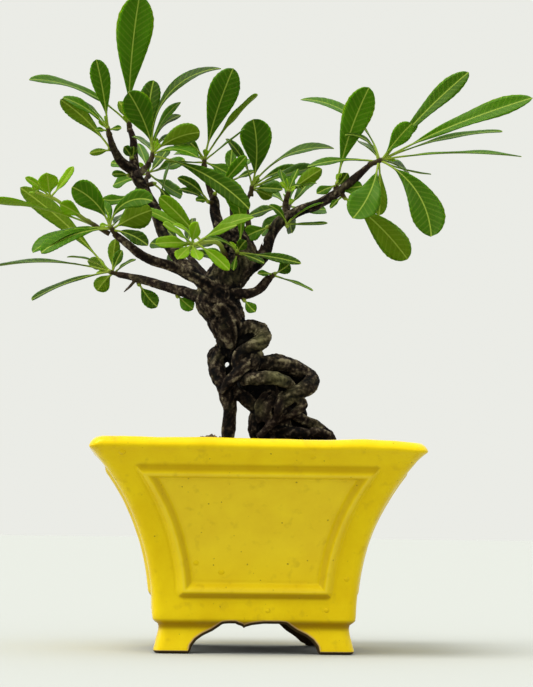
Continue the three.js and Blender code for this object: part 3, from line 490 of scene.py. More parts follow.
def smooth_curve(points: np.ndarray, share: np.ndarray) -> np.ndarray:
    """Points on a centripetal Catmull-Rom curve, the same one as in the CAD source.

    Args:
        points: n by 3 array of points the curve goes through.
        share: places along it, from 0 to 1, evenly shared between the points.

    Returns:
        One curve point for each share.
    """
    before = 2 * points[0] - points[1]
    after = 2 * points[-1] - points[-2]
    full = np.vstack([before, points, after])
    place = np.clip(share, 0, 1) * (len(points) - 1)
    index = np.minimum(place.astype(int), len(points) - 2)
    w = (place - index)[:, None]
    p0, p1, p2, p3 = (full[index + k] for k in range(4))
    steps = (p1 - p0, p2 - p1, p3 - p2)
    d0, d1, d2 = (np.sqrt(np.linalg.norm(step, axis=1))[:, None] for step in steps)
    t1 = ((p1 - p0) / d0 - (p2 - p0) / (d0 + d1) + (p2 - p1) / d1) * d1
    t2 = ((p2 - p1) / d1 - (p3 - p1) / (d1 + d2) + (p3 - p2) / d2) * d1
    c2 = -3 * p1 + 3 * p2 - 2 * t1 - t2
    c3 = 2 * p1 - 2 * p2 + t1 + t2
    return p1 + t1 * w + c2 * w ** 2 + c3 * w ** 3


def sample_stem(points: list[StemPoint], count: int) -> tuple[np.ndarray, np.ndarray]:
    """Evenly spaced samples of a stem's smooth middle line: their points and their radii."""
    rows = np.array(points, float)
    share = np.linspace(0, 1, count)
    radii = np.interp(share * (len(rows) - 1), np.arange(len(rows)), rows[:, 3])
    return smooth_curve(rows[:, :3], share), radii


def round_points(angles: np.ndarray, radius: np.ndarray | float, z: float) -> np.ndarray:
    """Points at angles round the upright axis, at one height."""
    return np.column_stack([radius * np.cos(angles), radius * np.sin(angles), np.full(len(angles), z)])


def read_profile(profile: Profile, places: np.ndarray | float) -> np.ndarray:
    """Value of a drawn profile, given as (place, value) points, at each place."""
    return np.interp(places, *np.array(profile, float).T)


def set_point_value(mesh: bpy.types.Mesh, name: str, value: np.ndarray) -> None:
    """Give a mesh a named point value for its material: n numbers, or n by 3 ones."""
    kind, key = ("FLOAT", "value") if value.ndim == 1 else ("FLOAT_VECTOR", "vector")
    attribute = mesh.attributes.new(name, kind, "POINT")
    attribute.data.foreach_set(key, value.ravel().astype(np.float32))


def read_points(collection: bpy.types.bpy_prop_collection, key: str) -> np.ndarray:
    """Read a vector of each item of a mesh's collection as rows of x, y and z."""
    rows = np.empty(len(collection) * 3)
    collection.foreach_get(key, rows)
    return rows.reshape(-1, 3)


class MeshParts:
    """Collects points, faces and point values, and makes one mesh object from them."""

    def __init__(self) -> None:
        """Start with nothing."""
        self.points: list[np.ndarray] = []
        self.faces: list[list[int]] = []
        self.values: dict[str, list[np.ndarray]] = {}
        self.count = 0

    def add(self, points: np.ndarray, faces: list, **values: np.ndarray) -> None:
        """Add one closed form.

        Args:
            points: n by 3 array in mm.
            faces: lists of point numbers in this form.
            **values: named arrays of n numbers, or n by 3 ones, that the materials read.
        """
        self.points.append(points)
        self.faces.extend([[self.count + i for i in face] for face in faces])
        for name, value in values.items():
            self.values.setdefault(name, []).append(np.asarray(value, float))
        self.count += len(points)

    def to_object(self, name: str, material: bpy.types.Material, merge: float = 0.0) -> bpy.types.Object:
        """Make the mesh object.

        Args:
            name: the piece's name.
            material: its material.
            merge: distance in mm under which points become one, or 0 to keep them all.

        Returns:
            The object, smooth shaded and linked to the scene.
        """
        mesh = bpy.data.meshes.new(name)
        points = np.vstack(self.points) * METRE
        mesh.from_pydata(points.tolist(), [], self.faces)
        for key, parts in self.values.items():
            set_point_value(mesh, key, np.concatenate(parts))
        return finish_object(name, mesh, material, merge)


def finish_object(name: str, mesh: bpy.types.Mesh, material: bpy.types.Material,
                  merge: float = 0.0) -> bpy.types.Object:
    """Link a mesh as a smooth shaded object with its material.

    Args:
        name: the piece's name.
        mesh: its mesh.
        material: its material.
        merge: distance in mm under which points become one, or 0 to keep them all.

    Returns:
        The object.
    """
    if merge:
        work = bmesh.new()
        work.from_mesh(mesh)
        bmesh.ops.remove_doubles(work, verts=work.verts, dist=merge * METRE)
        bmesh.ops.dissolve_degenerate(work, edges=work.edges, dist=merge * METRE)
        bmesh.ops.recalc_face_normals(work, faces=work.faces)
        work.to_mesh(mesh)
        work.free()
    mesh.validate()
    set_look(mesh, material)
    piece = bpy.data.objects.new(name, mesh)
    bpy.context.scene.collection.objects.link(piece)
    return piece


def set_look(mesh: bpy.types.Mesh, material: bpy.types.Material) -> None:
    """Give a mesh its one material and smooth shading."""
    mesh.materials.clear()
    mesh.materials.append(material)
    mesh.polygons.foreach_set("use_smooth", np.ones(len(mesh.polygons), bool))
    mesh.update()


def ring_faces(rings: int, count: int, closed: bool = False) -> list[list[int]]:
    """Quads between rings of points, numbered ring by ring.

    Args:
        rings: number of rings.
        count: points in each ring.
        closed: whether the last ring joins the first; if not, each end gets a face.

    Returns:
        Lists of point numbers.
    """
    faces = []
    for i in range(rings if closed else rings - 1):
        a, b = i * count, ((i + 1) % rings) * count
        for j in range(count):
            k = (j + 1) % count
            faces.append([a + j, a + k, b + k, b + j])
    if not closed:
        faces.append(list(range(count))[::-1])
        faces.append([(rings - 1) * count + j for j in range(count)])
    return faces


def tube(centres: np.ndarray, radii: np.ndarray, sides: int, seed: int = 0,
         lump: float = 0.0) -> tuple[np.ndarray, list[list[int]]]:
    """A closed round tube round a middle line.

    Args:
        centres: n by 3 array of points along the middle.
        radii: n radii.
        sides: points in each ring.
        seed: start of the random draw of its lumps.
        lump: share of the radius by which it swells and thins.

    Returns:
        Its points, and its faces as lists of point numbers.
    """
    tangents = np.gradient(centres, axis=0)
    tangents /= np.linalg.norm(tangents, axis=1)[:, None]
    side = np.array([0.0, 1.0, 0.0])
    angles = np.arange(sides) / sides * 2 * np.pi
    rings = []
    for centre, tangent, radius in zip(centres, tangents, radii):
        side = side - tangent * (side @ tangent)
        side /= np.linalg.norm(side)
        up = np.cross(tangent, side)
        circle = np.outer(np.cos(angles), side) + np.outer(np.sin(angles), up)
        rings.append(centre + radius * circle)
    points = np.vstack(rings)
    if lump:
        middle = np.repeat(centres, sides, axis=0)
        reach = 2.2 * float(np.max(radii))
        points = middle + (points - middle) * (1 + lump * waves(points, reach, seed))[:, None]
    return points, ring_faces(len(centres), sides)


@dataclass(frozen=True)
class YellowGlaze:
    """Glossy yellow lead-free glaze, dipped and fired over moulded stoneware.

    It gives an even, saturated yellow with a soft shine, deeper where it pools beside a ridge and darker
    with painted shade beside the frame and round the neck, paler on a crest as a painted highlight, with
    dark pits under a millimetre across and soft ripples. Bare clay shows brown where the glaze was wiped
    off.
    """

    body: str = "#D6B50A"
    light: str = "#E4CA12"
    pool_and_painted_shading: str = "#9A7802"
    pit: str = "#5A4612"
    stain: str = "#A5851A"
    thin_glaze_highlight: str = "#EAD460"
    shine: str = "#F6DC5A"
    thin_edge: str = "#B08D62"
    clay: str = "#2B1F19"

    def material(self) -> bpy.types.Material:
        """Build the material; it reads the point value "glazed", and the one of pooled glaze, painted shade
        and painted highlight.
        """
        finish = Finish("glazed_stoneware")
        # Soft clouds about 14 mm across, as in a dipped glaze.
        colour = finish.ramp(finish.noise(70.0, 5.0, 0.62), (0.25, self.body), (0.85, self.light))
        # Darker glaze where it pools, also as painted shade beside the frame and round the neck; paler
        # glaze, also as a painted highlight, where the value is below 0.
        pool_and_shading = finish.value("pool_and_painted_shading")
        colour = finish.over(colour, self.pool_and_painted_shading, pool_and_shading)
        colour = finish.over(colour, self.thin_glaze_highlight, finish.math("MULTIPLY", pool_and_shading, -1.0))
        # Pits in some of the 3 mm cells, 0.2 to 0.6 mm across and ragged.
        ragged = add_node(finish.tree, "TexNoise", {"Vector": finish.place, "Scale": 1100.0, "Detail": 2.0})
        bent = add_node(finish.tree, "VectorMath", operation="MULTIPLY_ADD",
                        inputs={0: ragged.outputs["Color"], 1: (0.0009, 0.0009, 0.0009), 2: finish.place})
        cells = add_node(finish.tree, "TexVoronoi",
                         {"Vector": bent.outputs[0], "Scale": 330.0, "Randomness": 1.0})
        draw = add_node(finish.tree, "SeparateColor", {"Color": cells.outputs["Color"]}).outputs
        reach = finish.span(draw[1], 0.0, 1.0, 0.05, 0.16)
        inside = finish.math("DIVIDE", cells.outputs["Distance"], reach)
        chosen = finish.math("GREATER_THAN", draw[0], 0.78)
        pits = finish.math("MULTIPLY", chosen, finish.span(inside, 0.5, 1.1, 1.0, 0.0))
        colour = finish.over(colour, self.pit, finish.math("MULTIPLY", pits, 0.7))
        # Faint brown stains, 3 to 8 mm across.
        colour = finish.over(colour, self.stain, finish.span(finish.noise(210.0, 4.0), 0.58, 0.8, 0.0, 0.4))
        # Glaze over the clay, with a thin pale edge.
        glazed = finish.value("glazed")
        clay = finish.ramp(glazed, (0.25, self.clay), (0.6, self.thin_edge))
        cover = finish.span(glazed, 0.62, 0.92)
        colour = finish.over(clay, colour, cover)
        # Slow ripples 9 mm apart and shallow ones of 4 mm, with the pits sunk in them.
        ripples = finish.math("MULTIPLY_ADD", finish.noise(110.0, 1.0), 3.0, finish.noise(250.0, 1.0))
        return finish.shade({
            "Base Color": colour, "Roughness": finish.span(cover, 0.0, 1.0, 0.8, 0.24), "IOR": 1.5,
            "Specular Tint": linear(self.shine),
            "Normal": finish.bump(finish.math("SUBTRACT", ripples, pits), 0.1, 0.0001),
        })


@dataclass(frozen=True)
class OldBark:
    """Living bark of an old firethorn, scaly and ridged, with grey and grey-green bloom on its crests.

    It gives a rough, matt, nearly black wood with brown and grey crests, lighter where algae grow and
    with a painted highlight on a few front roots, hollows painted black as shade, and smoother, warmer brown
    twigs.
    """

    crack_and_shade: str = "#030202"
    brown: str = "#1F160F"
    grey: str = "#4C4235"
    pale: str = "#7E745A"
    algae_and_highlight_green: str = "#73704A"
    twig: str = "#33231A"

    def material(self) -> bpy.types.Material:
        """Build the material; it reads girth in mm, crest, painted shade, and bloom with painted highlight.
        """
        finish = Finish("old_bark")
        crest, girth, crevice_shade, bloom_and_highlight = (finish.value(name) for name in ("crest", "girth", "crevice_shade", "bloom_and_highlight"))
        # Scales and ridges of 2 mm, with 0.5 mm grain in them.
        scales = finish.noise(480.0, 6.0, 0.7)
        height = finish.math("MULTIPLY_ADD", crest, 0.5, scales)
        colour = finish.ramp(height, (0.6, self.crack_and_shade), (0.76, self.brown), (0.9, self.grey),
                             (1.0, self.pale))
        # Smooth young bark on stems under 2.6 mm in radius.
        colour = finish.over(colour, self.twig, finish.span(girth, 1.0, 2.6, 0.6, 0.0))
        # Grey-green algae on the crests, in patches 12 mm across, and a painted highlight in the same colour
        # on the pale places.
        patches = finish.span(finish.noise(85.0, 4.0), 0.52, 0.75, 0.0, 0.5)
        algae_and_highlight = finish.math("MULTIPLY", finish.math("ADD", patches, bloom_and_highlight), finish.span(height, 0.45, 0.95))
        colour = finish.over(colour, self.algae_and_highlight_green, algae_and_highlight)
        # Painted shade: hollows and the shaded roots behind go black within 0.4 mm of depth.
        colour = finish.over(colour, self.crack_and_shade, finish.span(crevice_shade, 0.04, 0.42, 0.0, 0.97))
        rough = finish.math("MULTIPLY_ADD", finish.noise(1500.0, 3.0), 0.4, scales)
        return finish.shade({"Base Color": colour, "Roughness": 0.85, "Specular IOR Level": 0.1,
                             "Normal": finish.bump(rough, 1.0, 0.0009)})


@dataclass(frozen=True)
class EvergreenLeaf:
    """Leathery firethorn leaf with a waxy skin, softly glossy above and matt below.

    It gives a smooth dark green upper side, an olive underside, a thin pale yellow-green midrib and
    stalk, barely visible side veins about 3 mm apart, and light that glows through the blade. The
    short shoots that carry the leaves turn brown and woody toward the twig.
    """

    upper: str = "#386004"
    upper_dark: str = "#213A03"
    under: str = "#566E0C"
    young: str = "#7CA40C"
    rib: str = "#8FA03C"
    shine: str = "#C4DC78"
    woody: str = "#33261A"

    def material(self) -> bpy.types.Material:
        """Build the material; it reads "leaf_place" (mm), "leaf_kind" (underside, tone, age) and "woody"."""
        finish = Finish("evergreen_leaf")
        along, across, in_blade = finish.parts("leaf_place")
        underside, tone, age = finish.parts("leaf_kind")
        # Faint mottling 8 mm across, on top of each leaf's own tone.
        shade = finish.math("MULTIPLY_ADD", finish.noise(130.0, 3.0), 0.5, tone)
        colour = finish.ramp(shade, (0.25, self.upper_dark), (1.0, self.upper))
        colour = finish.over(colour, self.under, finish.math("MULTIPLY", underside, 0.85))
        colour = finish.over(colour, self.young, age)
        # Side veins leave the midrib at about 50 degrees and are only just visible.
        away = finish.math("ABSOLUTE", across)
        line = finish.math("MULTIPLY_ADD", away, -VEIN_SLOPE, along)
        vein = finish.span(finish.math("PINGPONG", line, VEIN_STEP / 2), 0.0, 0.6, 0.12, 0.0)
        vein = finish.math("MULTIPLY", vein, in_blade)
        midrib = finish.span(away, 0.14, 0.42, 0.75, 0.0)
        stalk = finish.span(in_blade, 0.0, 0.6, 0.8, 0.0)
        pale = finish.math("MAXIMUM", finish.math("MAXIMUM", midrib, stalk), vein)
        colour = finish.over(colour, self.rib, pale)
        colour = finish.over(colour, self.woody, finish.value("woody"))
        height = finish.math("MULTIPLY_ADD", vein, -2.0, finish.noise(700.0, 2.0))
        return finish.shade({
            "Base Color": colour, "Roughness": finish.span(underside, 0.0, 1.0, 0.42, 0.6), "IOR": 1.45,
            "Specular IOR Level": 0.2, "Specular Tint": linear(self.shine),
            "Subsurface Weight": 0.3, "Subsurface Radius": (0.9, 1.4, 0.2), "Subsurface Scale": 0.0008,
            "Normal": finish.bump(height, 0.25, 0.0001),
        })


@dataclass(frozen=True)
class PottingGrit:
    """Damp potting mix of crushed fired clay, lava grit and bark crumbs.

    It gives a dark brown ground with separate grains of brown, grey and ochre, 1 to 3 mm across.
    """

    dark: str = "#1F1712"
    brown: str = "#4A3526"
    grey: str = "#6E675E"
    ochre: str = "#8A6B47"

    def material(self) -> bpy.types.Material:
        """Build the material; it reads the point value "tone"."""
        finish = Finish("potting_grit")
        grains = finish.noise(900.0, 5.0, 0.7)
        mixed = finish.math("MULTIPLY_ADD", grains, 0.5, finish.value("tone"))
        colour = finish.ramp(mixed, (0.2, self.dark), (0.55, self.brown), (0.85, self.grey),
                             (1.0, self.ochre))
        return finish.shade({"Base Color": colour, "Roughness": 0.86,
                             "Normal": finish.bump(grains, 0.8, 0.0004)})


@dataclass(frozen=True)
class CushionMoss:
    """Low cushion moss, grown on damp soil; it gives a soft, matt, mid green nap."""

    tip: str = "#7E9A2C"
    base: str = "#3A4F16"

    def material(self) -> bpy.types.Material:
        """Build the material; it reads the point value "tone", which is 0 at the foot and 1 at the tip."""
        finish = Finish("cushion_moss")
        mixed = finish.math("MULTIPLY", finish.noise(260.0, 3.0), finish.value("tone"))
        colour = finish.ramp(mixed, (0.1, self.base), (0.6, self.tip))
        return finish.shade({"Base Color": colour, "Roughness": 0.9, "Sheen Weight": 0.2})


@dataclass(frozen=True)
class PaperBackdrop:
    """Pale matt studio paper, rolled; it gives an even, nearly white floor with soft shadows."""

    paper: str = "#B1B3AF"

    def material(self) -> bpy.types.Material:
        """Build the material."""
        finish = Finish("studio_paper")
        bump = finish.bump(finish.noise(1200.0, 2.0), 0.05, 0.0001)
        return finish.shade({"Base Color": linear(self.paper), "Roughness": 0.9, "Specular IOR Level": 0.0,
                             "Normal": bump})


class Slot(Enum):
    """Material slots of the record, which each piece names."""

    GLAZE = "glaze"
    SOIL = "soil"
    BARK = "bark"
    LEAF = "leaf"


def dress(piece: bpy.types.Object, slot: Slot, *nodes: str) -> None:
    """Let a piece ride on the one body and hide the CAD nodes that it stands for.

    Args:
        piece: the visual piece.
        slot: the record's slot for the piece's finish; it is not used.
        *nodes: names of the CAD nodes that it replaces.
    """
    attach(piece, "root")
    if nodes:
        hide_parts(*nodes)
    log.info("%s: %d faces", piece.name, len(piece.data.polygons))


@dataclass(frozen=True)
class Pot:
    """Square moulded pot: flared walls, rim lip, a mitred frame on each face, neck and bracket feet."""

    rim_half: float = 76.1
    bottom: float = 16.0
    bottom_half: float = 46.7
    flare_half: float = 46.7
    flare_height: float = 63.5
    flare_end: float = 79.4
    flare_top: float = 96.6
    wall: float = 6.5
    floor_top: float = 22.0
    floor_under: float = 15.8
    corner: float = 4.5
    foot_half: float = 45.9
    foot_thickness: float = 7.5
    drain: float = 8.0
    edge_round: float = 1.7
    frame_top: float = 82.0
    frame_bottom: float = 28.5
    frame_half_width: float = 3.7
    frame_rise: float = 2.5
    side_rise: float = 0.55
    frame_inset_top: float = 16.6
    frame_inset_bottom: float = 15.1
    bead_power: float = 1.4
    groove_depth: float = 0.25
    groove_width: float = 0.8
    # Inside: height of its last row under the lip, its corners, and height down to which it is glazed.
    inside_top: float = 94.6
    inside_corner: float = 3.0
    inside_glaze: float = 60.0
    # Height where the neck over the feet becomes the body.
    neck_top: float = 18.0
    # Half width and height of the opening between two feet.
    arch_half: float = 30.0
    arch_top: float = 13.5
    # Darker glaze beside the frame, partly pooled glaze and partly painted shade, and paler glaze as a
    # painted highlight on the bottom bead's upper flank: depth, and distances from the bead's crest where
    # each starts and ends.
    painted_shade_over: Point = (0.58, 1.0, 4.6)
    painted_shade_under: Point = (0.2, 1.2, 3.2)
    painted_shade_below: Point = (0.75, 0.4, 4.4)
    painted_shade_beside: Point = (0.36, 0.4, 4.2)
    painted_highlight_crest: Point = (-0.45, 0.2, 3.6)
    # How softly each of them starts and ends, and how softly they meet in a mitre.
    shading_start: float = 1.1
    shading_end: float = 1.2
    shading_mitre: float = 0.8
    # Painted shadow in the neck's recess, as darker glaze round the neck: its depth, height and half width.
    painted_neck_shadow: Point = (1.1, 12.9, 1.9)
    # Profile of the rim's rolled lip, from inside to outside, as (half width, height).
    lip: Profile = ((69.5, 95.5), (69.75, 96.2), (70.25, 96.75), (70.95, 97.1), (71.8, 97.2), (72.7, 97.1),
                    (73.6, 96.75), (74.4, 96.2), (75.1, 95.5), (75.65, 94.7), (75.95, 94.0), (76.05, 93.4),
                    (75.85, 92.8), (75.4, 92.2))
    # How much glaze covers the arch's round edge, by degrees round it.
    edge_glaze: Profile = ((6, 0.75), (12, 0.55), (20, 0.25), (32, 0.0), (50, 0.0), (70, 0.0), (90, 0.0))
    # Half widths of feet and neck up to the body, by height.
    foot: Profile = ((0, 46.2), (2, 45.8), (5, 45.0), (8, 44.2), (10, 43.8), (11.4, 43.7), (12.4, 43.7),
                     (13.1, 44.0), (13.7, 44.8), (14.3, 45.7), (15.2, 46.4), (16.5, 46.6))
    # The opening between two feet, as (place, height): its curved end on each side, and the cusp between.
    arch_end: Profile = ((8.5, 13.5), (11, 13.6), (14.5, 13.2), (16.6, 11.6), (19.2, 9.9), (23.4, 7.9),
                         (26.3, 5.8), (28.3, 3.2), (28.9, 1.5), (29.4, 0.4), (29.9, 0))
    arch_cusp: Profile = ((-8, 13.1), (-5.4, 12.2), (-4.8, 11.4), (-3.8, 12), (-1, 12.8), (4.2, 13.5))
    # How far the rim stands high or low, from left to right.
    rim_sag: Profile = ((-76, -0.5), (-70, 0.45), (-62, 0.6), (-45, 0.1), (-25, 0.35), (0, 0), (30, -0.25),
                        (48, 0.3), (60, -0.1), (70, -0.95), (76, -1.3))
    # How much lower the arch at the back is, by distance from the middle.
    rear_drop: Profile = ((0, 0), (8, 0.3), (14, 1.9), (16, 2), (19, 2.8), (23.4, 3.5), (26.4, 4),
                          (28.7, 2), (30, 0))
    # How far the left foot at the back stands in.
    rear_shift: float = 1.3
    # Beads of glaze: how far they bulge and are sunk in, and where they are on the front face, as
    # (place, height); the other faces get theirs at random.
    drop_rise: float = 0.55
    drop_sink: float = 0.22
    front_drops: Profile = ((-61.1, 90.2), (24.2, 89.1), (6.0, 19.6), (-27.0, 41.0), (-15.5, 36.9),
                            (41.7, 34.3), (32.8, 20.1))

    def wall_half(self, z: np.ndarray) -> np.ndarray:
        """Half width of the outer wall at each height: one quadratic curve up to the rounded rim."""
        rise = self.flare_height - self.bottom
        bend = self.flare_top - 2 * self.flare_height + self.bottom
        t = (np.sqrt(rise ** 2 + bend * (np.maximum(z, self.bottom) - self.bottom)) - rise) / bend
        return (1 - t) ** 2 * self.bottom_half + 2 * t * (1 - t) * self.flare_half + t ** 2 * self.flare_end

    def wall_at(self, z: float) -> tuple[float, float]:
        """Half width of the outer wall at one height, and how much it grows over the next millimetre."""
        half, above = self.wall_half(np.array([z, z + 1.0]))
        return float(half), float(above - half)

    def shares(self) -> np.ndarray:
        """Places along one side, from -1 to 1, closer where the frame's sides and the arches' ends are."""
        half = np.concatenate([np.linspace(0, 0.6, 28), np.linspace(0.6, 0.9, 34), np.linspace(0.9, 1, 6)])
        cusp = np.linspace(-0.21, -0.02, 18)
        return np.unique(np.round(np.concatenate([-half, cusp, half]), 6))

    def ring(self, x: np.ndarray, out: np.ndarray, z: np.ndarray, corner: float, end: float,
             end_z: float) -> np.ndarray:
        """One closed row of points round all four sides, with rounded corners.

        Args:
            x: places along a side, seen from outside.
            out: distance of each of them from the pot's middle.
            z: height of each of them.
            corner: radius of the corners.
            end: distance of the flat sides from the middle, beside a corner.
            end_z: height of the corners.

        Returns:
            The row's points.
        """
        side = np.column_stack([x, -out, z])
        angles = np.radians(np.linspace(-90, 0, 8)[1:-1])
        centre = end - corner
        arc = round_points(angles, corner, end_z) + np.array([centre, -centre, 0.0])
        quarter = np.vstack([side, arc])
        return np.vstack([quarter @ rotation_about(2, 90 * k).T for k in range(4)])

    def level_ring(self, half: float, z: float, corner: float | None = None) -> np.ndarray:
        """A level row of points at one height, with sides this far from the middle."""
        radius = self.corner if corner is None else corner
        shares = self.shares()
        same = np.ones(len(shares))
        return self.ring(shares * (half - radius), half * same, z * same, radius, half, z)

    def drain_ring(self, z: float) -> np.ndarray:
        """The drain hole's edge, with as many points as every other row."""
        square = self.level_ring(1.0, 0.0, 0.1)
        return round_points(np.arctan2(square[:, 1], square[:, 0]), self.drain, z)

    def frame_relief(self, x: np.ndarray, z: float) -> tuple[np.ndarray, np.ndarray]:
        """Rise of the half-round frame above the wall at one height, and its pooled glaze and painted
        shading.

        Args:
            x: places along the side.
            z: height.

        Returns:
            Rise of each place, a little negative in the grooves beside the frame, and its pooled glaze and
            painted shade, which is below 0 for paler glaze and a painted highlight on the frame's crest.
        """
        share = (z - self.frame_bottom) / (self.frame_top - self.frame_bottom)
        inset = self.frame_inset_bottom + (self.frame_inset_top - self.frame_inset_bottom) * share
        half, slope = self.wall_at(z)
        stretch = math.hypot(1.0, slope)
        over, below = (z - self.frame_top) * stretch, (self.frame_bottom - z) * stretch
        aside, level = np.abs(x) - (half - inset), max(over, below)
        # Distance beyond the crest: round at the outer corners, mitred at the inner ones.
        outside = np.where((aside > 0) & (level > 0), np.hypot(aside, level), np.maximum(aside, level))
        distance = np.abs(outside)
        across = np.clip(distance / self.frame_half_width, 0, 1)
        bead = self.frame_rise * np.cos(across * np.pi / 2) ** self.bead_power
        groove = self.groove_depth * np.exp(-((distance - self.frame_half_width) / self.groove_width) ** 2)

        def band(place: np.ndarray, measures: Point) -> np.ndarray:
            """Soft band of pooled glaze and painted shade, of a depth, between two distances from the bead's
            crest;
            below 0 it is paler glaze and a painted highlight.
            """
            depth, start, end = measures
            rising = np.clip((place - start) / self.shading_start, 0, 1)
            return depth * rising * np.clip((end - place) / self.shading_end, 0, 1)

        # 1 beside the frame's level parts, 0 beside its upright ones, with a mitre between.
        flat = np.clip((level - aside) / self.shading_mitre + 0.5, 0, 1)
        # Painted shade over the top bead, inside it and under the bottom bead, a painted highlight on the
        # bottom bead's upper flank, and painted shade inside the upright beads.
        if over > below:
            pool_and_shading = flat * (band(outside, self.painted_shade_over) + band(-outside, self.painted_shade_under))
        else:
            pool_and_shading = flat * (band(outside, self.painted_shade_below) + band(-outside, self.painted_highlight_crest))
        pool_and_shading = np.maximum(pool_and_shading, (1 - flat) * band(-outside, self.painted_shade_beside))
        # Paler glaze on the crest, as a painted highlight, and over the panel toward its top.
        panel = np.clip(-outside / 4.0, 0, 1) * np.clip((z - 20) / 30, 0, 1)
        thin_glaze_highlight = 0.3 * np.exp(-((distance + 0.6) / 1.3) ** 2) + 0.13 * panel
        return bead - groove, np.where(pool_and_shading < 0.05, pool_and_shading - thin_glaze_highlight, pool_and_shading)

    def wall_row(self, z: float) -> tuple[np.ndarray, np.ndarray]:
        """One row of the outer wall with its frame.

        Args:
            z: height before the frame pushes points out along the wall's slope.

        Returns:
            The row's points and their pooled glaze and painted shading.
        """
        half, slope = self.wall_at(z)
        x = self.shares() * (half - self.corner)
        relief, pool_and_shading = self.frame_relief(x, z)
        push = relief / math.hypot(1.0, slope)
        front, aside = (self.ring(x, half + part * push, z - part * push * slope, self.corner, half, z)
                        for part in (1.0, self.side_rise))
        count = len(front) // 4
        points = np.vstack([(aside if k % 2 else front)[k * count:(k + 1) * count] for k in range(4)])
        return points, np.tile(np.concatenate([pool_and_shading, np.zeros(6)]), 4)

    def arch_height(self, x: np.ndarray) -> np.ndarray:
        """Height of the opening between two feet at each place along a side; it is 0 under the feet."""
        mirrored = tuple((-place, height) for place, height in reversed(self.arch_end))
        return np.minimum(read_profile(mirrored + self.arch_cusp + self.arch_end, x), self.arch_top)

    def foot_half_at(self, z: np.ndarray | float) -> np.ndarray:
        """Half width of the feet and the neck at each height."""
        return read_profile((*self.foot, (self.neck_top, self.wall_at(self.neck_top)[0])), z)

    def foot_rows(self, add: Callable[..., None]) -> None:
        """Rows from the body's lower edge down the feet, under them and up inside to the underside plate.

        Args:
            add: takes each row's points, its pooled glaze and painted shading, and its cover.
        """
        shares, top = self.shares(), self.neck_top
        x = shares * (self.foot_half - self.corner)
        for _ in range(4):
            x = shares * (self.foot_half_at(self.arch_height(x)) - self.corner)
        arch = self.arch_height(x)
        # The direction into the clay from the opening's edge, smoothed so that its round edge has no fold.
        slope_x, slope_z = np.gradient(x), np.gradient(arch)
        normal = np.column_stack([-slope_z, slope_x]) / np.hypot(slope_x, slope_z)[:, None]
        kernel = np.array([1, 2, 3, 2, 1]) / 9
        padded = np.pad(normal, ((2, 2), (0, 0)), mode="edge")
        normal = np.column_stack([np.convolve(padded[:, k], kernel, "valid") for k in range(2)])
        normal /= np.linalg.norm(normal, axis=1)[:, None]

        def add_foot(row_x: np.ndarray, row_z: np.ndarray, depth: float, corner_z: float,
                     cover: float) -> None:
            """Add one row at a depth behind the outer face."""
            outer = self.foot_half_at(row_z)
            corner = max(self.corner - depth, 0.5)
            end = float(self.foot_half_at(corner_z))
            # Beyond the arch, the foot's points are spread evenly up to its corner.
            kept = self.arch_half
            room = (end - depth - corner - kept) / (float(np.max(row_x)) - kept)
            spread = np.sign(row_x) * (kept + (np.abs(row_x) - kept) * room)
            along = np.where(np.abs(row_x) > kept, spread, row_x)
            row = self.ring(along, outer - depth, row_z, corner, end - depth, corner_z)
            # Painted shadow round the neck's recess, laid on as darker glaze.
            deep, middle, width = self.painted_neck_shadow
            pool_and_shading = deep * np.exp(-np.abs((row[:, 2] - middle) / width) ** 3)
            # The sole's edge keeps its glaze longer than the arch's edge does.
            at_sole = np.clip(cover + 0.4, 0, 1) * (cover > 0.2)
            add(row, pool_and_shading, np.where(row[:, 2] < 2.0, at_sole, cover))

        edge_x = x + self.edge_round * normal[:, 0]
        edge_z = arch + self.edge_round * normal[:, 1]
        start_x = shares * (float(self.foot_half_at(top)) - self.corner)
        for share in (0, 0.06, 0.1, 0.14, 0.17, 0.2, 0.24, 0.3, 0.38, 0.48, 0.6, 0.72, 0.84, 0.93, 1):
            cover = 1.0 if share < 0.95 else 0.7
            add_foot(start_x + (edge_x - start_x) * share, top + (edge_z - top) * share, 0.0,
                     top + (self.edge_round - top) * share, cover)
        for degrees, cover in self.edge_glaze:
            angle = math.radians(degrees)
            in_edge = self.edge_round * (1 - math.sin(angle))
            add_foot(x + in_edge * normal[:, 0], arch + in_edge * normal[:, 1],
                     self.edge_round * (1 - math.cos(angle)), in_edge, cover)
        for depth in (1.6, 3, 4.5, 6, self.foot_thickness):
            add_foot(x, arch, depth, 0.0, 0.0)
        for share in (0.15, 0.4, 0.7, 1):
            height = arch + (self.floor_under - arch) * share
            add_foot(x, height, self.foot_thickness, self.floor_under * share, 0.0)
        for half in (33.0, 26.0, 18.0):
            add(self.level_ring(half, self.floor_under, 1.0), cover=0.0)
        add(self.drain_ring(self.floor_under), cover=0.0)

    def build(self, glaze: bpy.types.Material) -> bpy.types.Object:
        """Make the whole pot as one closed skin of rows.

        Args:
            glaze: the glazed stoneware.

        Returns:
            The pot.
        """
        rows, pools_and_shading, covers = [], [], []

        def add(row: np.ndarray, pool_and_shading: np.ndarray | float = 0.0, cover: np.ndarray | float = 1.0) -> None:
            """Add one row with its pooled glaze and painted shading, and its cover."""
            rows.append(row)
            pools_and_shading.append(np.broadcast_to(pool_and_shading, len(row)))
            covers.append(np.broadcast_to(cover, len(row)))

        add(self.drain_ring(self.floor_top), cover=0.0)
        for half in (18, 27, 34):
            add(self.level_ring(half, self.floor_top, 1.0), cover=0.0)
        for z in np.linspace(self.floor_top, self.inside_top, 26):
            half = min(self.wall_at(z)[0], self.rim_half) - self.wall
            add(self.level_ring(half, z, self.inside_corner), cover=0.0 if z < self.inside_glaze else 1.0)
        for half, z in self.lip:
            add(self.level_ring(half, z))
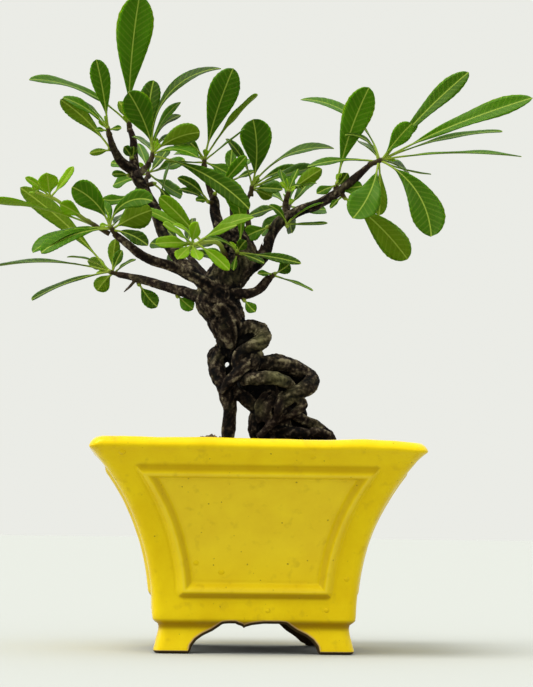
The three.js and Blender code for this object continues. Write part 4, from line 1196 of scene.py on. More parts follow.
        # Rows down the wall, close together over the frame's two level parts.
        heights = np.concatenate([np.linspace(*span) for span in (
            (91.6, 88.2, 5), (87.6, 76.4, 28), (75.6, 35.2, 21), (34.4, 22.6, 28), (21, 19.6, 2))])
        for z in heights:
            add(*self.wall_row(z))
        self.foot_rows(add)
        points = self.handmade(np.vstack(rows))
        form = MeshParts()
        faces = ring_faces(len(rows), len(rows[0]), closed=True)
        form.add(points, faces, pool_and_painted_shading=np.concatenate(pools_and_shading), glazed=np.concatenate(covers))
        self.drops(form)
        return form.to_object("glazed_pot", glaze, merge=0.02)

    def drops(self, form: MeshParts) -> None:
        """Add the round blobs where the glaze ran and beaded, 2 to 4 mm across.

        Args:
            form: gets them, as flat domes that are sunk into the wall.
        """
        ball, faces = ball_mesh(2)
        rng = np.random.default_rng(17)
        for side in range(4):
            turn = rotation_about(2, 90 * side)
            spots = self.front_drops
            if side:
                spots = [(rng.uniform(-28, 28), rng.uniform(38, 76)) for _ in range(5)]
            for x, z in spots:
                half, slope = self.wall_at(z)
                out = np.array([0.0, -1.0, -slope]) / math.hypot(1.0, slope)
                along = np.array([0.0, -slope, 1.0]) / math.hypot(1.0, slope)
                wide = rng.uniform(1.1, 1.9)
                axes = np.array([[wide, 0, 0], wide * rng.uniform(0.8, 1.1) * along, self.drop_rise * out])
                points = (np.array([x, -half, z]) - out * self.drop_sink + ball @ axes) @ turn.T
                form.add(points, faces, pool_and_painted_shading=np.full(len(ball), 0.1), glazed=np.ones(len(ball)))

    def handmade(self, points: np.ndarray) -> np.ndarray:
        """Give the pot the unevenness of a pressed and fired one.

        Args:
            points: the pot's points in mm.

        Returns:
            The same points: the walls moved by up to about 0.3 mm, the rim by up to 1.5 mm, and the feet
            at the back by up to 4 mm beside their arch; the sole stays flat.
        """
        x, y, z = points.T
        level = np.clip(z / 12.0, 0, 1)
        push = 0.13 * waves(points, 34.0, 11) + 0.05 * waves(points, 7.0, 12)
        out = points * np.array([1.0, 1.0, 0.0])
        out /= np.maximum(np.linalg.norm(out, axis=1), 1.0)[:, None]
        moved = points + out * (push * level)[:, None]
        # The rim is a little higher toward its left end and falls at its right one.
        at_rim = np.clip((z - 88.0) / 6.0, 0, 1)
        moved[:, 2] += at_rim * (read_profile(self.rim_sag, x) + 0.1 * waves(points, 22.0, 13))
        # The feet at the back spread more under their arch, and stand a little further in at the left.
        rear = np.clip((y - 20.0) / 12.0, 0, 1)
        arch = self.arch_height(x)
        drop = np.minimum(read_profile(self.rear_drop, x), 0.95 * arch)
        pull = np.clip(z / np.maximum(arch, 0.1), 0, 1) * np.clip((17.5 - z) / 4.0, 0, 1)
        moved[:, 2] -= rear * drop * pull * (np.abs(x) < self.arch_half)
        foot = np.clip((17.0 - z) / 2.0, 0, 1) * np.clip((-x - 36.0) / 6.0, 0, 1)
        moved[:, 0] += self.rear_shift * foot * np.clip((y + 36.0) / 20.0, 0, 1)
        return moved


@dataclass(frozen=True)
class Soil:
    """Potting mix that fills the pot, with loose grit on it, crumbs beside the left root and some moss."""

    top: float = 91.5
    middle: float = 96.4
    gap: float = 0.4
    # A tuft beside the left root, as (x, y, height), and how wide it spreads.
    tuft: Point = (-21.0, -3.5, 4.0)
    tuft_spread: float = 60.0
    grain_count: int = 2600
    # Crumbs beside the left root, which just show above the rim: how many, and their middle.
    crumb_count: int = 60
    crumbs: tuple[float, float] = (-19.6, -4.0)
    # Points in each square row of the surface.
    row_points: int = 150
    # Moss cushions, as (x, y, radius, number of shoots), and half of the surface that they grow on.
    moss_reach: float = 67.0
    cushions: tuple[tuple[float, float, float, int], ...] = (
        (-46.0, -12.0, 6.0, 200), (26.0, 31.0, 9.0, 360), (-38.0, 34.0, 8.0, 300), (44.0, -38.0, 7.0, 220),
        (-52.0, -42.0, 6.0, 180), (-2.0, -46.0, 6.0, 190),
    )

    def surface(self, x: np.ndarray, y: np.ndarray, half: float) -> np.ndarray:
        """Height of the soil: the CAD source's mound, with its tuft a little higher and nearer the root.

        Args:
            x: places to the right.
            y: places away.
            half: half width of the surface.

        Returns:
            One height for each place.
        """
        edge = np.minimum(1, np.hypot(x, y) / half)
        mound = (self.middle - self.top) * np.cos(edge * np.pi / 2)
        middle_x, middle_y, tall = self.tuft
        tuft = tall * np.exp(-((x - middle_x) ** 2 + (y - middle_y) ** 2) / self.tuft_spread)
        return self.top + mound + tuft + 0.4 * np.sin(0.31 * x + 1) * np.sin(0.27 * y)

    def build(self, pot: Pot, grit: bpy.types.Material) -> bpy.types.Object:
        """Make the body of the soil with its rough surface.

        Args:
            pot: the pot that it fills.
            grit: the potting grit.

        Returns:
            The soil.
        """
        rows = []
        for z in [pot.floor_top + 0.3, 40, 60, 78, 88, self.top]:
            half = pot.wall_at(max(z, pot.floor_top))[0] - pot.wall - self.gap
            rows.append(self.square(half, z))
        reach = half - 0.4
        for share in np.linspace(1, 0.012, 74):
            row = self.square(reach * share, 0.0)
            row[:, 2] = self.surface(row[:, 0], row[:, 1], reach)
            row[:, 2] += 0.45 * waves(row, 2.6, 21, 20) + 0.25 * waves(row, 1.4, 22, 20)
            rows.append(row)
        points = np.vstack(rows)
        form = MeshParts()
        tone = np.clip(0.18 + 0.08 * waves(points, 9.0, 23), 0, 1)
        form.add(points, ring_faces(len(rows), self.row_points), tone=tone)
        return form.to_object("potting_mix", grit)

    def square(self, half: float, z: float) -> np.ndarray:
        """A level square row of points with slightly rounded corners."""
        angles = np.arange(self.row_points) / self.row_points * 2 * np.pi
        c, s = np.cos(angles), np.sin(angles)
        scale = half / np.maximum((np.abs(c) ** 14 + np.abs(s) ** 14) ** (1 / 14), 1e-6)
        return round_points(angles, scale, z)

    def grains(self, pot: Pot, grit: bpy.types.Material) -> bpy.types.Object:
        """Scatter loose grains of crushed clay and lava over the surface.

        Args:
            pot: the pot whose walls they stay inside.
            grit: the potting grit.

        Returns:
            All the grains as one piece.
        """
        rng = np.random.default_rng(31)
        ball, faces = ball_mesh(1)
        reach = pot.wall_at(self.top)[0] - pot.wall - self.gap - 1.6
        form = MeshParts()
        for number in range(self.grain_count):
            x, y = rng.uniform(-reach, reach, 2)
            size = rng.uniform(0.55, 1.35) if rng.random() < 0.85 else rng.uniform(1.3, 1.9)
            if number < self.crumb_count:
                x, y = self.crumbs[0] + rng.normal(0, 2.4), self.crumbs[1] + rng.normal(0, 2.2)
                size = rng.uniform(0.4, 0.75)
            dents = 1 + 0.28 * rng.normal(size=(len(ball), 1)).clip(-1.4, 1.4)
            shape = ball * dents * rng.uniform(0.65, 1.1, 3)
            turn = Matrix.Rotation(rng.uniform(0, 6.28), 3, Vector(rng.normal(size=3)))
            shape = shape @ np.array(turn).T * size
            z = self.surface(np.array([x]), np.array([y]), reach)[0] + 0.35 * size
            tone = rng.choice([0.1, 0.3, 0.5, 0.75], p=[0.3, 0.35, 0.25, 0.1])
            form.add(shape + np.array([x, y, z]), faces, tone=np.full(len(ball), tone))
        return form.to_object("loose_grit", grit)

    def moss(self, moss: bpy.types.Material) -> bpy.types.Object:
        """Grow small moss cushions here and there on the soil, low enough to stay behind the rim.

        Args:
            moss: the moss.

        Returns:
            All the moss shoots as one piece.
        """
        rng = np.random.default_rng(41)
        form = MeshParts()
        for x0, y0, radius, count in self.cushions:
            for _ in range(count):
                angle, far = rng.uniform(0, 2 * np.pi), radius * math.sqrt(rng.random())
                x, y = x0 + far * math.cos(angle), y0 + far * math.sin(angle)
                z = self.surface(np.array([x]), np.array([y]), self.moss_reach)[0]
                tall = rng.uniform(0.9, 1.9) * (1.15 - far / radius * 0.6)
                lean = rng.normal(0, 0.35, 2)
                self.moss_shoot(form, np.array([x, y, z - 0.5]), tall, lean, rng)
        return form.to_object("cushion_moss", moss)

    def moss_shoot(self, form: MeshParts, base: np.ndarray, tall: float, lean: np.ndarray,
                   rng: np.random.Generator) -> None:
        """Add one shoot: a short stalk that flares into a pointed star of leaflets.

        Args:
            form: gets the shoot.
            base: its foot.
            tall: its height.
            lean: how far its tip moves sideways, as shares of its height.
            rng: source of its random turn.
        """
        sides, star_share = 6, 0.85
        angles = np.arange(sides) / sides * 2 * np.pi + rng.uniform(0, 1)
        star = np.where(np.arange(sides) % 2, 0.35, 1.0)
        points, tones = [], []
        for share, radius in ((0, 0.25), (0.55, 0.5), (star_share, 0.62), (1.0, 0.12)):
            spread = radius * (star if share == star_share else 1.0)
            ring = round_points(angles, spread, share * tall + 0.5)
            ring[:, :2] += lean * share * tall
            points.append(base + ring)
            tones.append(np.full(sides, share))
        form.add(np.vstack(points), ring_faces(4, sides), tone=np.concatenate(tones))


def ball_mesh(splits: int) -> tuple[np.ndarray, list[list[int]]]:
    """A unit ball of triangles.

    Args:
        splits: how many times the twenty faces of the first form are split.

    Returns:
        Its points and its faces.
    """
    work = bmesh.new()
    bmesh.ops.create_icosphere(work, subdivisions=splits, radius=1.0)
    points = np.array([vertex.co[:] for vertex in work.verts])
    faces = [[vertex.index for vertex in face.verts] for face in work.faces]
    work.free()
    return points, faces


@dataclass(frozen=True)
class Wood:
    """Roots, trunk, branches and thorns as one skin of old bark."""

    step: float = 1.6
    sides: int = 14
    voxel: float = 0.5
    # How far ridges, plates and knobs stand out, and by which share of its radius a stem swells.
    ridge: float = 0.5
    plate: float = 0.45
    knob: float = 0.9
    stem_lump: float = 0.06
    # Spacing across the grain in mm, and stretch along it, of the ridges, scales and plates.
    ridges: tuple[float, float] = (2.9, 4.5)
    scales: tuple[float, float] = (1.9, 1.6)
    plates: tuple[float, float] = (4.2, 2.2)
    knob_size: float = 7.5
    # Depth in mm of painted hollow shade that a shaded root gets.
    shade_depth: float = 0.42
    # Hollows are measured under surfaces smoothed this many times, with these weights.
    smoothing: Profile = ((40, 1.0), (160, 0.5))
    # Places in the tree's own frame where the bark is painted pale grey-green, partly algae and partly a
    # painted highlight, with radius and strength.
    pale_places: tuple[tuple[Point, float, float], ...] = (
        ((10.5, -14.0, 127.3), 5.5, 1.0), ((2.0, -8.0, 145.5), 6.5, 0.5), ((1.6, -9.0, 113.0), 3.5, 0.5),
        ((18.5, -6.0, 121.0), 5.0, 0.5),
    )
    # Roots behind the others, painted nearly black as shade.
    shaded: tuple[str, ...] = ("core", "knot_back", "crotch", "back_root", "low_shade_filler", "high_shade_filler",
                               "side_shade_filler", "soil_shade_filler")
    # Dark fillers behind the loops, painted black as shade, which close most of the gap between them:
    # rows of x, y, z and radius.
    shade_fillers: tuple[tuple[str, tuple[tuple[float, float, float, float], ...]], ...] = (
        ("low_shade_filler", ((-15.0, 2.5, 128.5, 2.2), (-12.6, 3.0, 131.2, 2.4), (-10.0, 3.0, 133.0, 2.2))),
        ("high_shade_filler", ((-15.0, 3.0, 137.2, 1.8), (-12.0, 3.0, 137.8, 1.9), (-9.0, 3.0, 138.0, 2.0))),
        ("side_shade_filler", ((17.0, 2.5, 125.0, 2.2), (20.8, 2.5, 127.4, 2.3), (24.0, 2.0, 129.0, 2.2))),
        ("soil_shade_filler", ((26.0, 0.0, 99.4, 2.6), (29.9, 0.0, 100.0, 2.4), (33.0, 0.0, 98.4, 2.2))),
    )

    def stems(self) -> list[np.ndarray]:
        """All middle lines in the pot, sampled closely: rows of x, y, z, radius and 1 where shaded."""
        lines = []
        for name, points in {**THICK_STEMS, **ROOT_STRANDS, **BRANCHES, **dict(self.shade_fillers)}.items():
            steps = np.diff(np.array(points, float)[:, :3], axis=0)
            length = float(np.sum(np.linalg.norm(steps, axis=1)))
            centres, radii = sample_stem(points, max(6, round(length / self.step)))
            shaded = np.full(len(radii), float(name in self.shaded))
            lines.append(np.column_stack([in_pot(centres), radii, shaded]))
        return lines

    def skin(self, lines: list[np.ndarray]) -> bpy.types.Object:
        """Fuse the stems into one even skin.

        Args:
            lines: the sampled middle lines.

        Returns:
            A mesh object in metres, with no material yet.
        """
        form = MeshParts()
        for number, line in enumerate(lines):
            form.add(*tube(line[:, :3], line[:, 3], self.sides, seed=100 + number, lump=self.stem_lump))
        rough = form.to_object("old_wood", bpy.data.materials.new("bare"))
        for name, kind, settings in (
            ("fuse", "REMESH", {"mode": "VOXEL", "voxel_size": self.voxel * METRE}),
            ("ease", "SMOOTH", {"factor": 0.5, "iterations": 2}),
        ):
            modifier = rough.modifiers.new(name, kind)
            for key, value in settings.items():
                setattr(modifier, key, value)
        fused = bpy.data.meshes.new_from_object(rough.evaluated_get(bpy.context.evaluated_depsgraph_get()))
        old = rough.data
        rough.data = fused
        rough.modifiers.clear()
        bpy.data.meshes.remove(old)
        return rough

    def build(self, bark: bpy.types.Material) -> bpy.types.Object:
        """Make the skin and carve the bark's ridges, scales and knobs into it.

        Args:
            bark: the old bark.

        Returns:
            The wood.
        """
        lines = self.stems()
        piece = self.skin(lines)
        mesh = piece.data
        points = read_points(mesh.vertices, "co") / METRE
        normals = read_points(mesh.vertex_normals, "vector")
        along, radial, girth, shaded = self.grain_places(points, lines)
        # Long ridges run with the grain; scales, flat plates and knobs break them up.
        ridges, scales, plates = (
            waves(radial + along / stretch, size, seed, count)
            for (size, stretch), seed, count in ((self.ridges, 51, 26), (self.scales, 52, 26),
                                                 (self.plates, 54, 22)))
        plates = np.tanh(3.0 * plates)
        knobs = np.maximum(waves(points, self.knob_size, 53, 18) - 0.7, 0)
        crest = 0.45 * ridges + 0.3 * scales + 0.35 * plates
        # The trunk is flaky and knobbly; roots are smoother, like ropes.
        coarse = np.clip((girth - 3.6) / 4.0, 0.0, 1.0)
        push = self.ridge * (0.6 * ridges + (0.15 + 0.25 * coarse) * scales)
        push += self.plate * (0.15 + 0.4 * coarse) * plates + self.knob * (0.4 + 0.6 * coarse) * knobs
        push *= np.clip(girth / 4.5, 0.3, 1.0)
        moved = points + normals * push[:, None]
        mesh.vertices.foreach_set("co", (moved * METRE).ravel())
        mesh.update()
        # Pale grey-green places, partly algae and partly a painted highlight.
        bloom_and_highlight = np.zeros(len(points))
        for spot, radius, strength in self.pale_places:
            away = np.linalg.norm(moved - in_pot(np.array(spot)), axis=1)
            bloom_and_highlight = np.maximum(bloom_and_highlight, strength * np.exp(-(away / radius) ** 2))
        # Painted shade: hollows, and every shaded root, get the value that the bark paints black.
        crevice_shade = np.maximum(self.hollows(mesh, moved), self.shade_depth * shaded)
        set_point_value(mesh, "girth", girth)
        set_point_value(mesh, "crest", np.clip(0.5 + 0.4 * crest, 0, 1))
        set_point_value(mesh, "crevice_shade", crevice_shade)
        set_point_value(mesh, "bloom_and_highlight", bloom_and_highlight)
        set_look(mesh, bark)
        return piece

    def hollows(self, mesh: bpy.types.Mesh, points: np.ndarray) -> np.ndarray:
        """How far each point lies below its surroundings.

        Args:
            mesh: the skin.
            points: its points in mm.

        Returns:
            Depth of each point in mm, under surfaces smoothed over about 3 mm and 6 mm.
        """
        normals = read_points(mesh.vertex_normals, "vector")
        edges = np.empty(len(mesh.edges) * 2, np.int32)
        mesh.edges.foreach_get("vertices", edges)
        a, b = edges.reshape(-1, 2).T
        count = len(points)
        joined = np.maximum(np.bincount(a, minlength=count) + np.bincount(b, minlength=count), 1)
        soft = points.T.copy()
        depth = np.zeros(count)
        weights = dict(self.smoothing)
        for turn in range(1, max(weights) + 1):
            sums = [np.bincount(a, row[b], count) + np.bincount(b, row[a], count) for row in soft]
            soft = np.array(sums) / joined
            if turn in weights:
                depth += weights[turn] * np.sum((soft.T - points) * normals, axis=1)
        return depth

    def grain_places(self, points: np.ndarray, lines: list[np.ndarray]) -> tuple[np.ndarray, ...]:
        """Split each point's place into a part along the grain and a part across it.

        Args:
            points: points of the skin in mm.
            lines: the sampled middle lines.

        Returns:
            The part along the grain, the part across it, the stem's radius and its shade, for each point.
        """
        centres = np.vstack([line[:, :3] for line in lines])
        radii, shade = np.vstack([line[:, 3:] for line in lines]).T
        tangents = np.vstack([np.gradient(line[:, :3], axis=0) for line in lines])
        tangents /= np.linalg.norm(tangents, axis=1)[:, None]
        distances = []
        for number, line in enumerate(lines):
            steps = np.linalg.norm(np.diff(line[:, :3], axis=0), axis=1)
            # Each stem starts elsewhere in the pattern.
            distances.append(40.0 * number + np.concatenate([[0], np.cumsum(steps)]))
        distances = np.concatenate(distances)
        tree = KDTree(len(centres))
        for number, centre in enumerate(centres):
            tree.insert(Vector(centre), number)
        tree.balance()
        nearest = np.empty(len(points), int)
        for number, point in enumerate(points):
            found = tree.find_n(Vector(point), 8)
            nearest[number] = min(found, key=lambda hit: hit[2] - radii[hit[1]])[1]
        offset = points - centres[nearest]
        ahead = np.sum(offset * tangents[nearest], axis=1)
        radial = offset - tangents[nearest] * ahead[:, None]
        along = np.column_stack([distances[nearest] + ahead] * 3) * np.array([1.0, 0.7, -0.5])
        return along, radial, radii[nearest], shade[nearest]


@dataclass(frozen=True)
class Foliage:
    """The leafy shoots: each leaf is a folded, toothed blade on its stalk."""

    stalk_share: float = 0.14
    stalk_half: float = 0.5
    blade_thickness: float = 0.42
    fold: float = 0.2
    long_leaf: float = 22.0
    tooth: float = 0.16
    rows_long: int = 36
    rows_short: int = 22
    across: int = 9
    vein_height: float = 0.02
    buds_each: int = 3
    # How much of a shoot's length is brown bark.
    spray_woody: float = 0.8
    stem_woody: float = 0.35
    back_leaves: int = 7
    # Half width of the blade as a share of its greatest one, along the blade.
    long_blade: Profile = ((0, 0), (0.08, 0.1), (0.2, 0.29), (0.34, 0.56), (0.48, 0.79), (0.6, 0.94),
                           (0.7, 1), (0.8, 0.95), (0.88, 0.79), (0.94, 0.57), (0.98, 0.32), (1, 0))
    short_blade: Profile = ((0, 0), (0.08, 0.14), (0.2, 0.4), (0.36, 0.75), (0.52, 0.96), (0.66, 1),
                            (0.8, 0.88), (0.9, 0.64), (0.96, 0.38), (1, 0))
    # Radius of a spray's short shoot along its length.
    shoot_radius: Profile = ((0, 1.3), (0.3, 1.3), (0.7, 1.1), (0.92, 0.85), (1, 0.4))

    def heading(self, angle: np.ndarray, lean: float) -> np.ndarray:
        """Directions for angles in the picture plane and a lean toward the viewer, in degrees."""
        turned, leaned = np.radians(angle), math.radians(lean)
        return np.column_stack([np.cos(turned) * math.cos(leaned), np.full(len(turned), -math.sin(leaned)),
                                np.sin(turned) * math.cos(leaned)])

    def outline(self, t: np.ndarray, width: float, long: bool) -> np.ndarray:
        """Half width of a leaf at each place along it: a thin stalk, then a blade widest past its middle.

        Args:
            t: places along the leaf, from 0 to 1.
            width: full width of the blade.
            long: whether it is a long leaf, which tapers more toward its stalk.

        Returns:
            One half width for each place.
        """
        s = np.clip((t - self.stalk_share) / (1 - self.stalk_share), 0, 1)
        half = read_profile(self.long_blade if long else self.short_blade, s) * width / 2
        swell = 0.35 * np.exp(-t / 0.03)
        stalk = (self.stalk_half + swell) * (1 - s) ** 0.5
        return np.maximum(half, stalk)

    def leaf(self, form: MeshParts, base: np.ndarray, row: LeafRow, seed: int, young: float) -> None:
        """Add one leaf.

        Args:
            form: gets the leaf.
            base: where its stalk starts.
            row: its angles and size.
            seed: start of its own random draw.
            young: 1 for a fresh bright leaf, 0 for an old one.
        """
        rng = np.random.default_rng(seed)
        long = row.length > self.long_leaf
        # Even rows up to 0.86 of the length, then closer ones toward the round tip.
        count = self.rows_long if long else self.rows_short
        even, tip = round(count * 0.72), 0.86
        t = np.concatenate([np.linspace(0, tip, even, endpoint=False),
                            tip + (1 - tip) * np.sin(np.linspace(0, np.pi / 2, count - even))])
        t = t / t[-1]
        angle = row.start + (row.end - row.start) * t
        middle = (t[1:] + t[:-1]) / 2
        steps = self.heading(row.start + (row.end - row.start) * middle, row.lean)
        steps *= (np.diff(t) * row.length)[:, None]
        line = base + np.vstack([np.zeros(3), np.cumsum(steps, axis=0)])
        along = self.heading(angle, row.lean)
        facing = np.array([0.0, -1.0, 0.0]) - along * math.sin(math.radians(row.lean))
        facing /= np.linalg.norm(facing, axis=1)[:, None]
        mirror = -1.0 if math.cos(math.radians((row.start + row.end) / 2)) < -1e-6 else 1.0
        bearing = np.radians(angle)
        above = mirror * np.column_stack([-np.sin(bearing), np.zeros(len(t)), np.cos(bearing)])
        twist = row.turn + rng.uniform(-10, 10) * (t - 0.4)
        turned = np.radians(twist)[:, None]
        normal = facing * np.cos(turned) + above * np.sin(turned)
        side = np.cross(along, normal)
        half = self.outline(t, row.width, long)
        in_blade = np.clip((t - self.stalk_share) / 0.12, 0, 1)
        # Fine teeth on the outer half of the margin, but not at the tip.
        teeth = self.tooth * (np.arange(len(t)) % 2) * np.clip((t - 0.4) / 0.2, 0, 1)
        teeth *= min(1.0, row.width / 8)
        teeth[-4:] = 0
        # A slow ripple of the margin, which bends one side up and the other down by turns.
        ripple = 0.055 * row.width * in_blade * np.sin(t * rng.uniform(9, 15) + rng.uniform(0, 6.28))
        curl = rng.uniform(-0.02, 0.05) * row.length * np.clip(t - 0.45, 0, 1) ** 2
        rings, marks = [], []
        u = np.linspace(-1, 1, self.across)
        lens = np.sqrt(np.clip(1 - u ** 2, 0, 1))
        tone = rng.uniform(0.0, 1.0)
        for i in range(len(t)):
            share = in_blade[i]
            width = (half[i] + teeth[i] * np.abs(u) ** 3) * u
            thickness = (1 - share) * 2 * self.stalk_half + share * self.blade_thickness
            if half[i] < 1.0:
                thickness = min(thickness, 1.6 * half[i] + 0.1)
            body = 0.5 * thickness * (lens if share < 0.5 else lens ** 0.35)
            rise = share * (self.fold * half[i] * np.abs(u) ** 1.35 + ripple[i] * u * np.abs(u)) + curl[i]
            rib = share * np.exp(-(width / 0.5) ** 2)
            tip_fade = np.clip((1 - t[i]) / 0.2, 0, 1)
            line_place = t[i] * row.length - VEIN_SLOPE * np.abs(width)
            veins = self.vein_height * share * tip_fade * np.sin(line_place * 2 * np.pi / VEIN_STEP)
            veins = veins * np.clip(np.abs(width) / 1.2, 0, 1) * (1 - np.abs(u) ** 4)
            top = rise + body - 0.14 * rib * tip_fade + veins
            under = rise - body - 0.3 * rib * tip_fade + veins
            # Round the blade: over the top, and back under it without the two margins.
            upper, lower = (line[i] + side[i] * width[:, None] + normal[i] * face[:, None]
                            for face in (top, under))
            rings.append(np.vstack([upper, lower[-2:0:-1]]))
            place = np.concatenate([width, width[-2:0:-1]])
            marks.append([(t[i] * row.length, x, share) for x in place])
        points = np.vstack(rings)
        sides = 2 * self.across - 2
        kind = [(float(number >= self.across), tone, young) for number in range(sides)]
        form.add(in_pot(points), ring_faces(len(t), sides), leaf_place=np.vstack(marks),
                 leaf_kind=np.array(kind * len(t)), woody=np.zeros(len(points)))

    def shoot(self, form: MeshParts, centres: np.ndarray, radii: np.ndarray, seed: int,
              woody: float) -> None:
        """Add a shoot that carries leaves, knobbly with old leaf scars.

        Args:
            form: gets the shoot.
            centres: points along its middle.
            radii: its radius at each.
            seed: start of the random draw of its lumps.
            woody: how much of its length is brown bark, from 0 to 1.
        """
        sides = 12
        points, faces = tube(centres, radii, sides, seed, 0.16)
        share = np.repeat(np.linspace(0, 1, len(centres)), sides)
        brown = np.clip((woody - share) / 0.25 + 0.5, 0, 1)
        kind = (0.0, 0.4, 0.2)
        form.add(in_pot(points), faces, leaf_place=np.zeros((len(points), 3)),
                 leaf_kind=np.tile(kind, (len(points), 1)), woody=brown)

    def buds(self, form: MeshParts, tip: np.ndarray, way: np.ndarray, seed: int) -> None:
        """Add a few tiny new leaves round a shoot's tip.

        Args:
            form: gets them.
            tip: the shoot's end.
            way: the way the shoot grows.
            seed: start of the random draw.
        """
        rng = np.random.default_rng(seed)
        angle = math.degrees(math.atan2(way[2], way[0]))
        for number in range(self.buds_each):
            start = angle + rng.uniform(-50, 50)
            row = LeafRow(start, start + rng.uniform(-20, 20), rng.uniform(-20, 40), rng.uniform(4, 7),
                          rng.uniform(1.8, 2.6), rng.uniform(0, 90))
            self.leaf(form, tip - way * rng.uniform(0.5, 1.8), row, seed * 7 + number, 0.75)

    def build_spray(self, name: str, spray: Spray, number: int,
                    leaf: bpy.types.Material) -> bpy.types.Object:
        """Make one spray: its short shoot and its leaves.

        Args:
            name: the spray's name, the same as in its CAD node.
            spray: where it grows and its leaves.
            number: start of its random draws.
            leaf: the leaf's finish.

        Returns:
            The spray.
        """
        angle, lean, length = spray.grow
        way = self.heading(np.array([float(angle)]), lean)[0]
        start = np.array(spray.at, float)
        form = MeshParts()
        steps = np.linspace(-1.2, length + 0.4, 13)
        radii = read_profile(self.shoot_radius, np.linspace(0, 1, len(steps)))
        self.shoot(form, start + way * steps[:, None], radii, number, self.spray_woody)
        for i, row in enumerate(spray.leaves):
            share = 0.4 + 0.5 * (i + 0.5) / len(spray.leaves)
            self.leaf(form, start + way * length * share, LeafRow(*row), 1000 * number + i, 0.0)
        if len(spray.leaves) > 3:
            self.buds(form, start + way * length, way, 9000 + number)
        return form.to_object(f"foliage_{name}", leaf)

    def build_stem(self, name: str, stem: LeafyStem, number: int, young: float,
                   leaf: bpy.types.Material) -> bpy.types.Object:
        """Make a longer leafy stem.

        Args:
            name: the stem's name, the same as in its CAD node.
            stem: its path and its leaves.
            number: start of its random draws.
            young: how fresh its leaves are, from 0 to 1.
            leaf: the leaf's finish.

        Returns:
            The leafy stem.
        """
        centres, radii = sample_stem(stem.path, 26)
        form = MeshParts()
        self.shoot(form, centres, radii, number, self.stem_woody)
        for i, (base, row) in enumerate(stem.leaves):
            # The leaves toward the tip are the freshest.
            fresh = young * (0.5 + 0.5 * i / 4)
            self.leaf(form, np.array(base, float), LeafRow(*row), 1000 * number + i, fresh)
        self.buds(form, centres[-1], centres[-1] - centres[-2], 9000 + number)
        return form.to_object(f"foliage_{name}", leaf)

    def sprays(self) -> dict[str, Spray]:
        """All sprays, with the whorls at the back worked out as in the CAD source."""
        every = dict(SPRAYS)
        for name, (at, grow, first) in BACK_WHORLS.items():
            leaves = []
            for k in range(self.back_leaves):
                angle = (first + k * GOLDEN_ANGLE) % 360
                lean, length, width = -30 - 6 * (k % 5), 20 + 2.5 * (k % 4), 7 + (k % 3)
                leaves.append((angle, angle + 12, lean, length, width, 40))
            every[name] = Spray(at, grow, leaves)
        return every


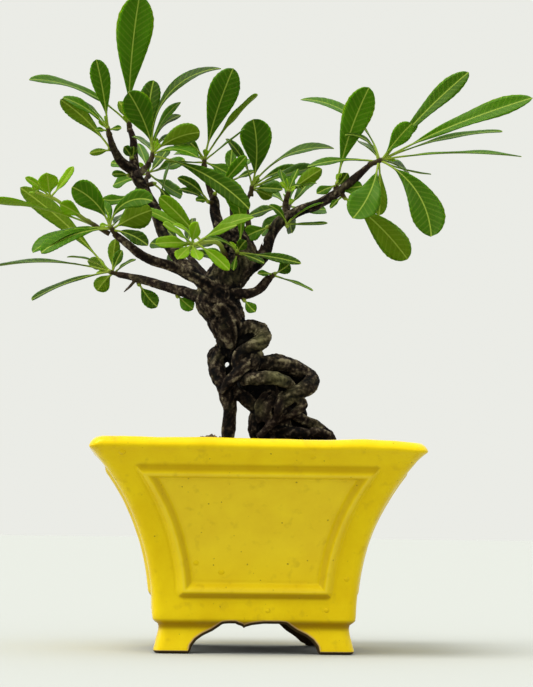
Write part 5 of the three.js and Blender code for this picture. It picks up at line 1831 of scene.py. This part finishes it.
@dataclass(frozen=True)
class Studio:
    """Plain pale floor, soft light from above, and the camera at the photograph's place.

    The camera's numbers are fitted to the pot's rim, its feet and the horizon, with angles in degrees.
    """

    distance: float = 1275.0
    camera_height: float = 62.0
    orbit: float = 2.4
    pitch: float = 3.7
    roll: float = 0.65
    focal_pixels: float = 2688.0
    frame_height_pixels: float = 687.0
    aside_pixels: float = 13.0
    sensor: float = 24.0
    floor_radius: float = 7000.0
    floor_drop: float = 0.3
    key_spread: float = 34.0
    key_strength: float = 2.2
    key_from: Point = (-0.37, -0.26, 0.89)
    wall_tint: str = "#FBFCF6"
    # Zones of the room: axis of the direction, where the zone starts and ends, and its light there.
    zones: tuple[tuple[int, float, float, float, float], ...] = (
        (2, 0.2, 0.42, 0.86, 1.12), (2, 0.76, 0.92, 0.0, 0.6), (0, -0.8, -0.94, 0.0, 2.2),
    )

    def floor(self, paper: bpy.types.Material) -> bpy.types.Object:
        """Lay the floor, a large pale disc.

        Args:
            paper: the floor's finish.

        Returns:
            The floor.
        """
        angles = np.arange(96) / 96 * 2 * np.pi
        form = MeshParts()
        form.add(round_points(angles, self.floor_radius, -self.floor_drop), [list(range(len(angles)))])
        piece = form.to_object("pale_floor", paper)
        return piece

    def camera(self) -> bpy.types.Object:
        """Place the camera and make it the scene's."""
        turn = math.radians(self.orbit)
        heading = turn + math.atan(self.aside_pixels / self.focal_pixels)
        pitch, roll = math.radians(self.pitch), math.radians(self.roll)
        ahead = math.cos(pitch)
        forward = Vector((math.sin(heading) * ahead, math.cos(heading) * ahead, math.sin(pitch)))
        level = Vector((math.cos(heading), -math.sin(heading), 0.0))
        upright = level.cross(forward)
        right = math.cos(roll) * level + math.sin(roll) * upright
        up = -math.sin(roll) * level + math.cos(roll) * upright
        data = bpy.data.cameras.new("photo_camera")
        data.sensor_fit = "VERTICAL"
        data.sensor_height = self.sensor
        data.lens = self.sensor * self.focal_pixels / self.frame_height_pixels
        data.clip_end = 50.0
        camera = bpy.data.objects.new("photo_camera", data)
        place = (-self.distance * math.sin(turn), -self.distance * math.cos(turn), self.camera_height)
        axes = Matrix((right, up, -forward)).transposed().to_4x4()
        camera.matrix_world = Matrix.Translation(Vector(place) * METRE) @ axes
        bpy.context.scene.collection.objects.link(camera)
        bpy.context.scene.camera = camera
        return camera

    def key(self) -> None:
        """Let one very soft light fall from high above, a little from the left and the front."""
        data = bpy.data.lights.new("soft_key", "SUN")
        data.angle = math.radians(self.key_spread)
        data.energy = self.key_strength
        lamp = bpy.data.objects.new("soft_key", data)
        lamp.rotation_euler = Vector(self.key_from).to_track_quat("Z", "Y").to_euler()
        bpy.context.scene.collection.objects.link(lamp)

    def room(self) -> None:
        """Surround the object with pale walls, a brighter one at the left, and a bright ceiling."""
        world = bpy.data.worlds.new("pale_room")
        world.use_nodes = True
        tree = world.node_tree
        way = add_node(tree, "TexCoord").outputs["Generated"]
        axes = add_node(tree, "SeparateXYZ", {0: way}).outputs
        strength = 0.0
        for axis, start, end, low, high in self.zones:
            inputs = {"Value": axes[axis], "From Min": start, "From Max": end, "To Min": low,
                      "To Max": high}
            zone = add_node(tree, "MapRange", inputs, interpolation_type="SMOOTHSTEP").outputs["Result"]
            strength = add_node(tree, "Math", {0: strength, 1: zone}, operation="ADD").outputs[0]
        background = tree.nodes["Background"]
        background.inputs["Color"].default_value = linear(self.wall_tint)
        tree.links.new(strength, background.inputs["Strength"])
        bpy.context.scene.world = world

    def build(self) -> None:
        """Set up the floor, the camera, the lights and how light becomes colour."""
        self.floor(PaperBackdrop().material())
        self.camera()
        self.key()
        self.room()
        bpy.context.scene.view_settings.view_transform = "Standard"


def main() -> None:
    """Build every piece, dress it and report it."""
    logging.basicConfig(level=logging.INFO, format="%(name)s: %(message)s")
    Studio().build()
    pot, soil, foliage = Pot(), Soil(), Foliage()
    grit = PottingGrit().material()
    dress(pot.build(YellowGlaze().material()), Slot.GLAZE, "pot")
    dress(soil.build(pot, grit), Slot.SOIL, "soil")
    dress(soil.grains(pot, grit), Slot.SOIL)
    dress(soil.moss(CushionMoss().material()), Slot.SOIL)
    dress(Wood().build(OldBark().material()), Slot.BARK, "wood")
    leaf = EvergreenLeaf().material()
    for number, (name, spray) in enumerate(foliage.sprays().items()):
        dress(foliage.build_spray(name, spray, number + 1, leaf), Slot.LEAF, f"leaves_{name}")
    stems = (("left_shoot", LEFT_SHOOT, 0.7), ("front_shoot", FRONT_SHOOT, 0.45))
    for number, (name, stem, young) in enumerate(stems):
        dress(foliage.build_stem(name, stem, 60 + number, young, leaf), Slot.LEAF, f"leaves_{name}")


if __name__ == "__main__":
    main()
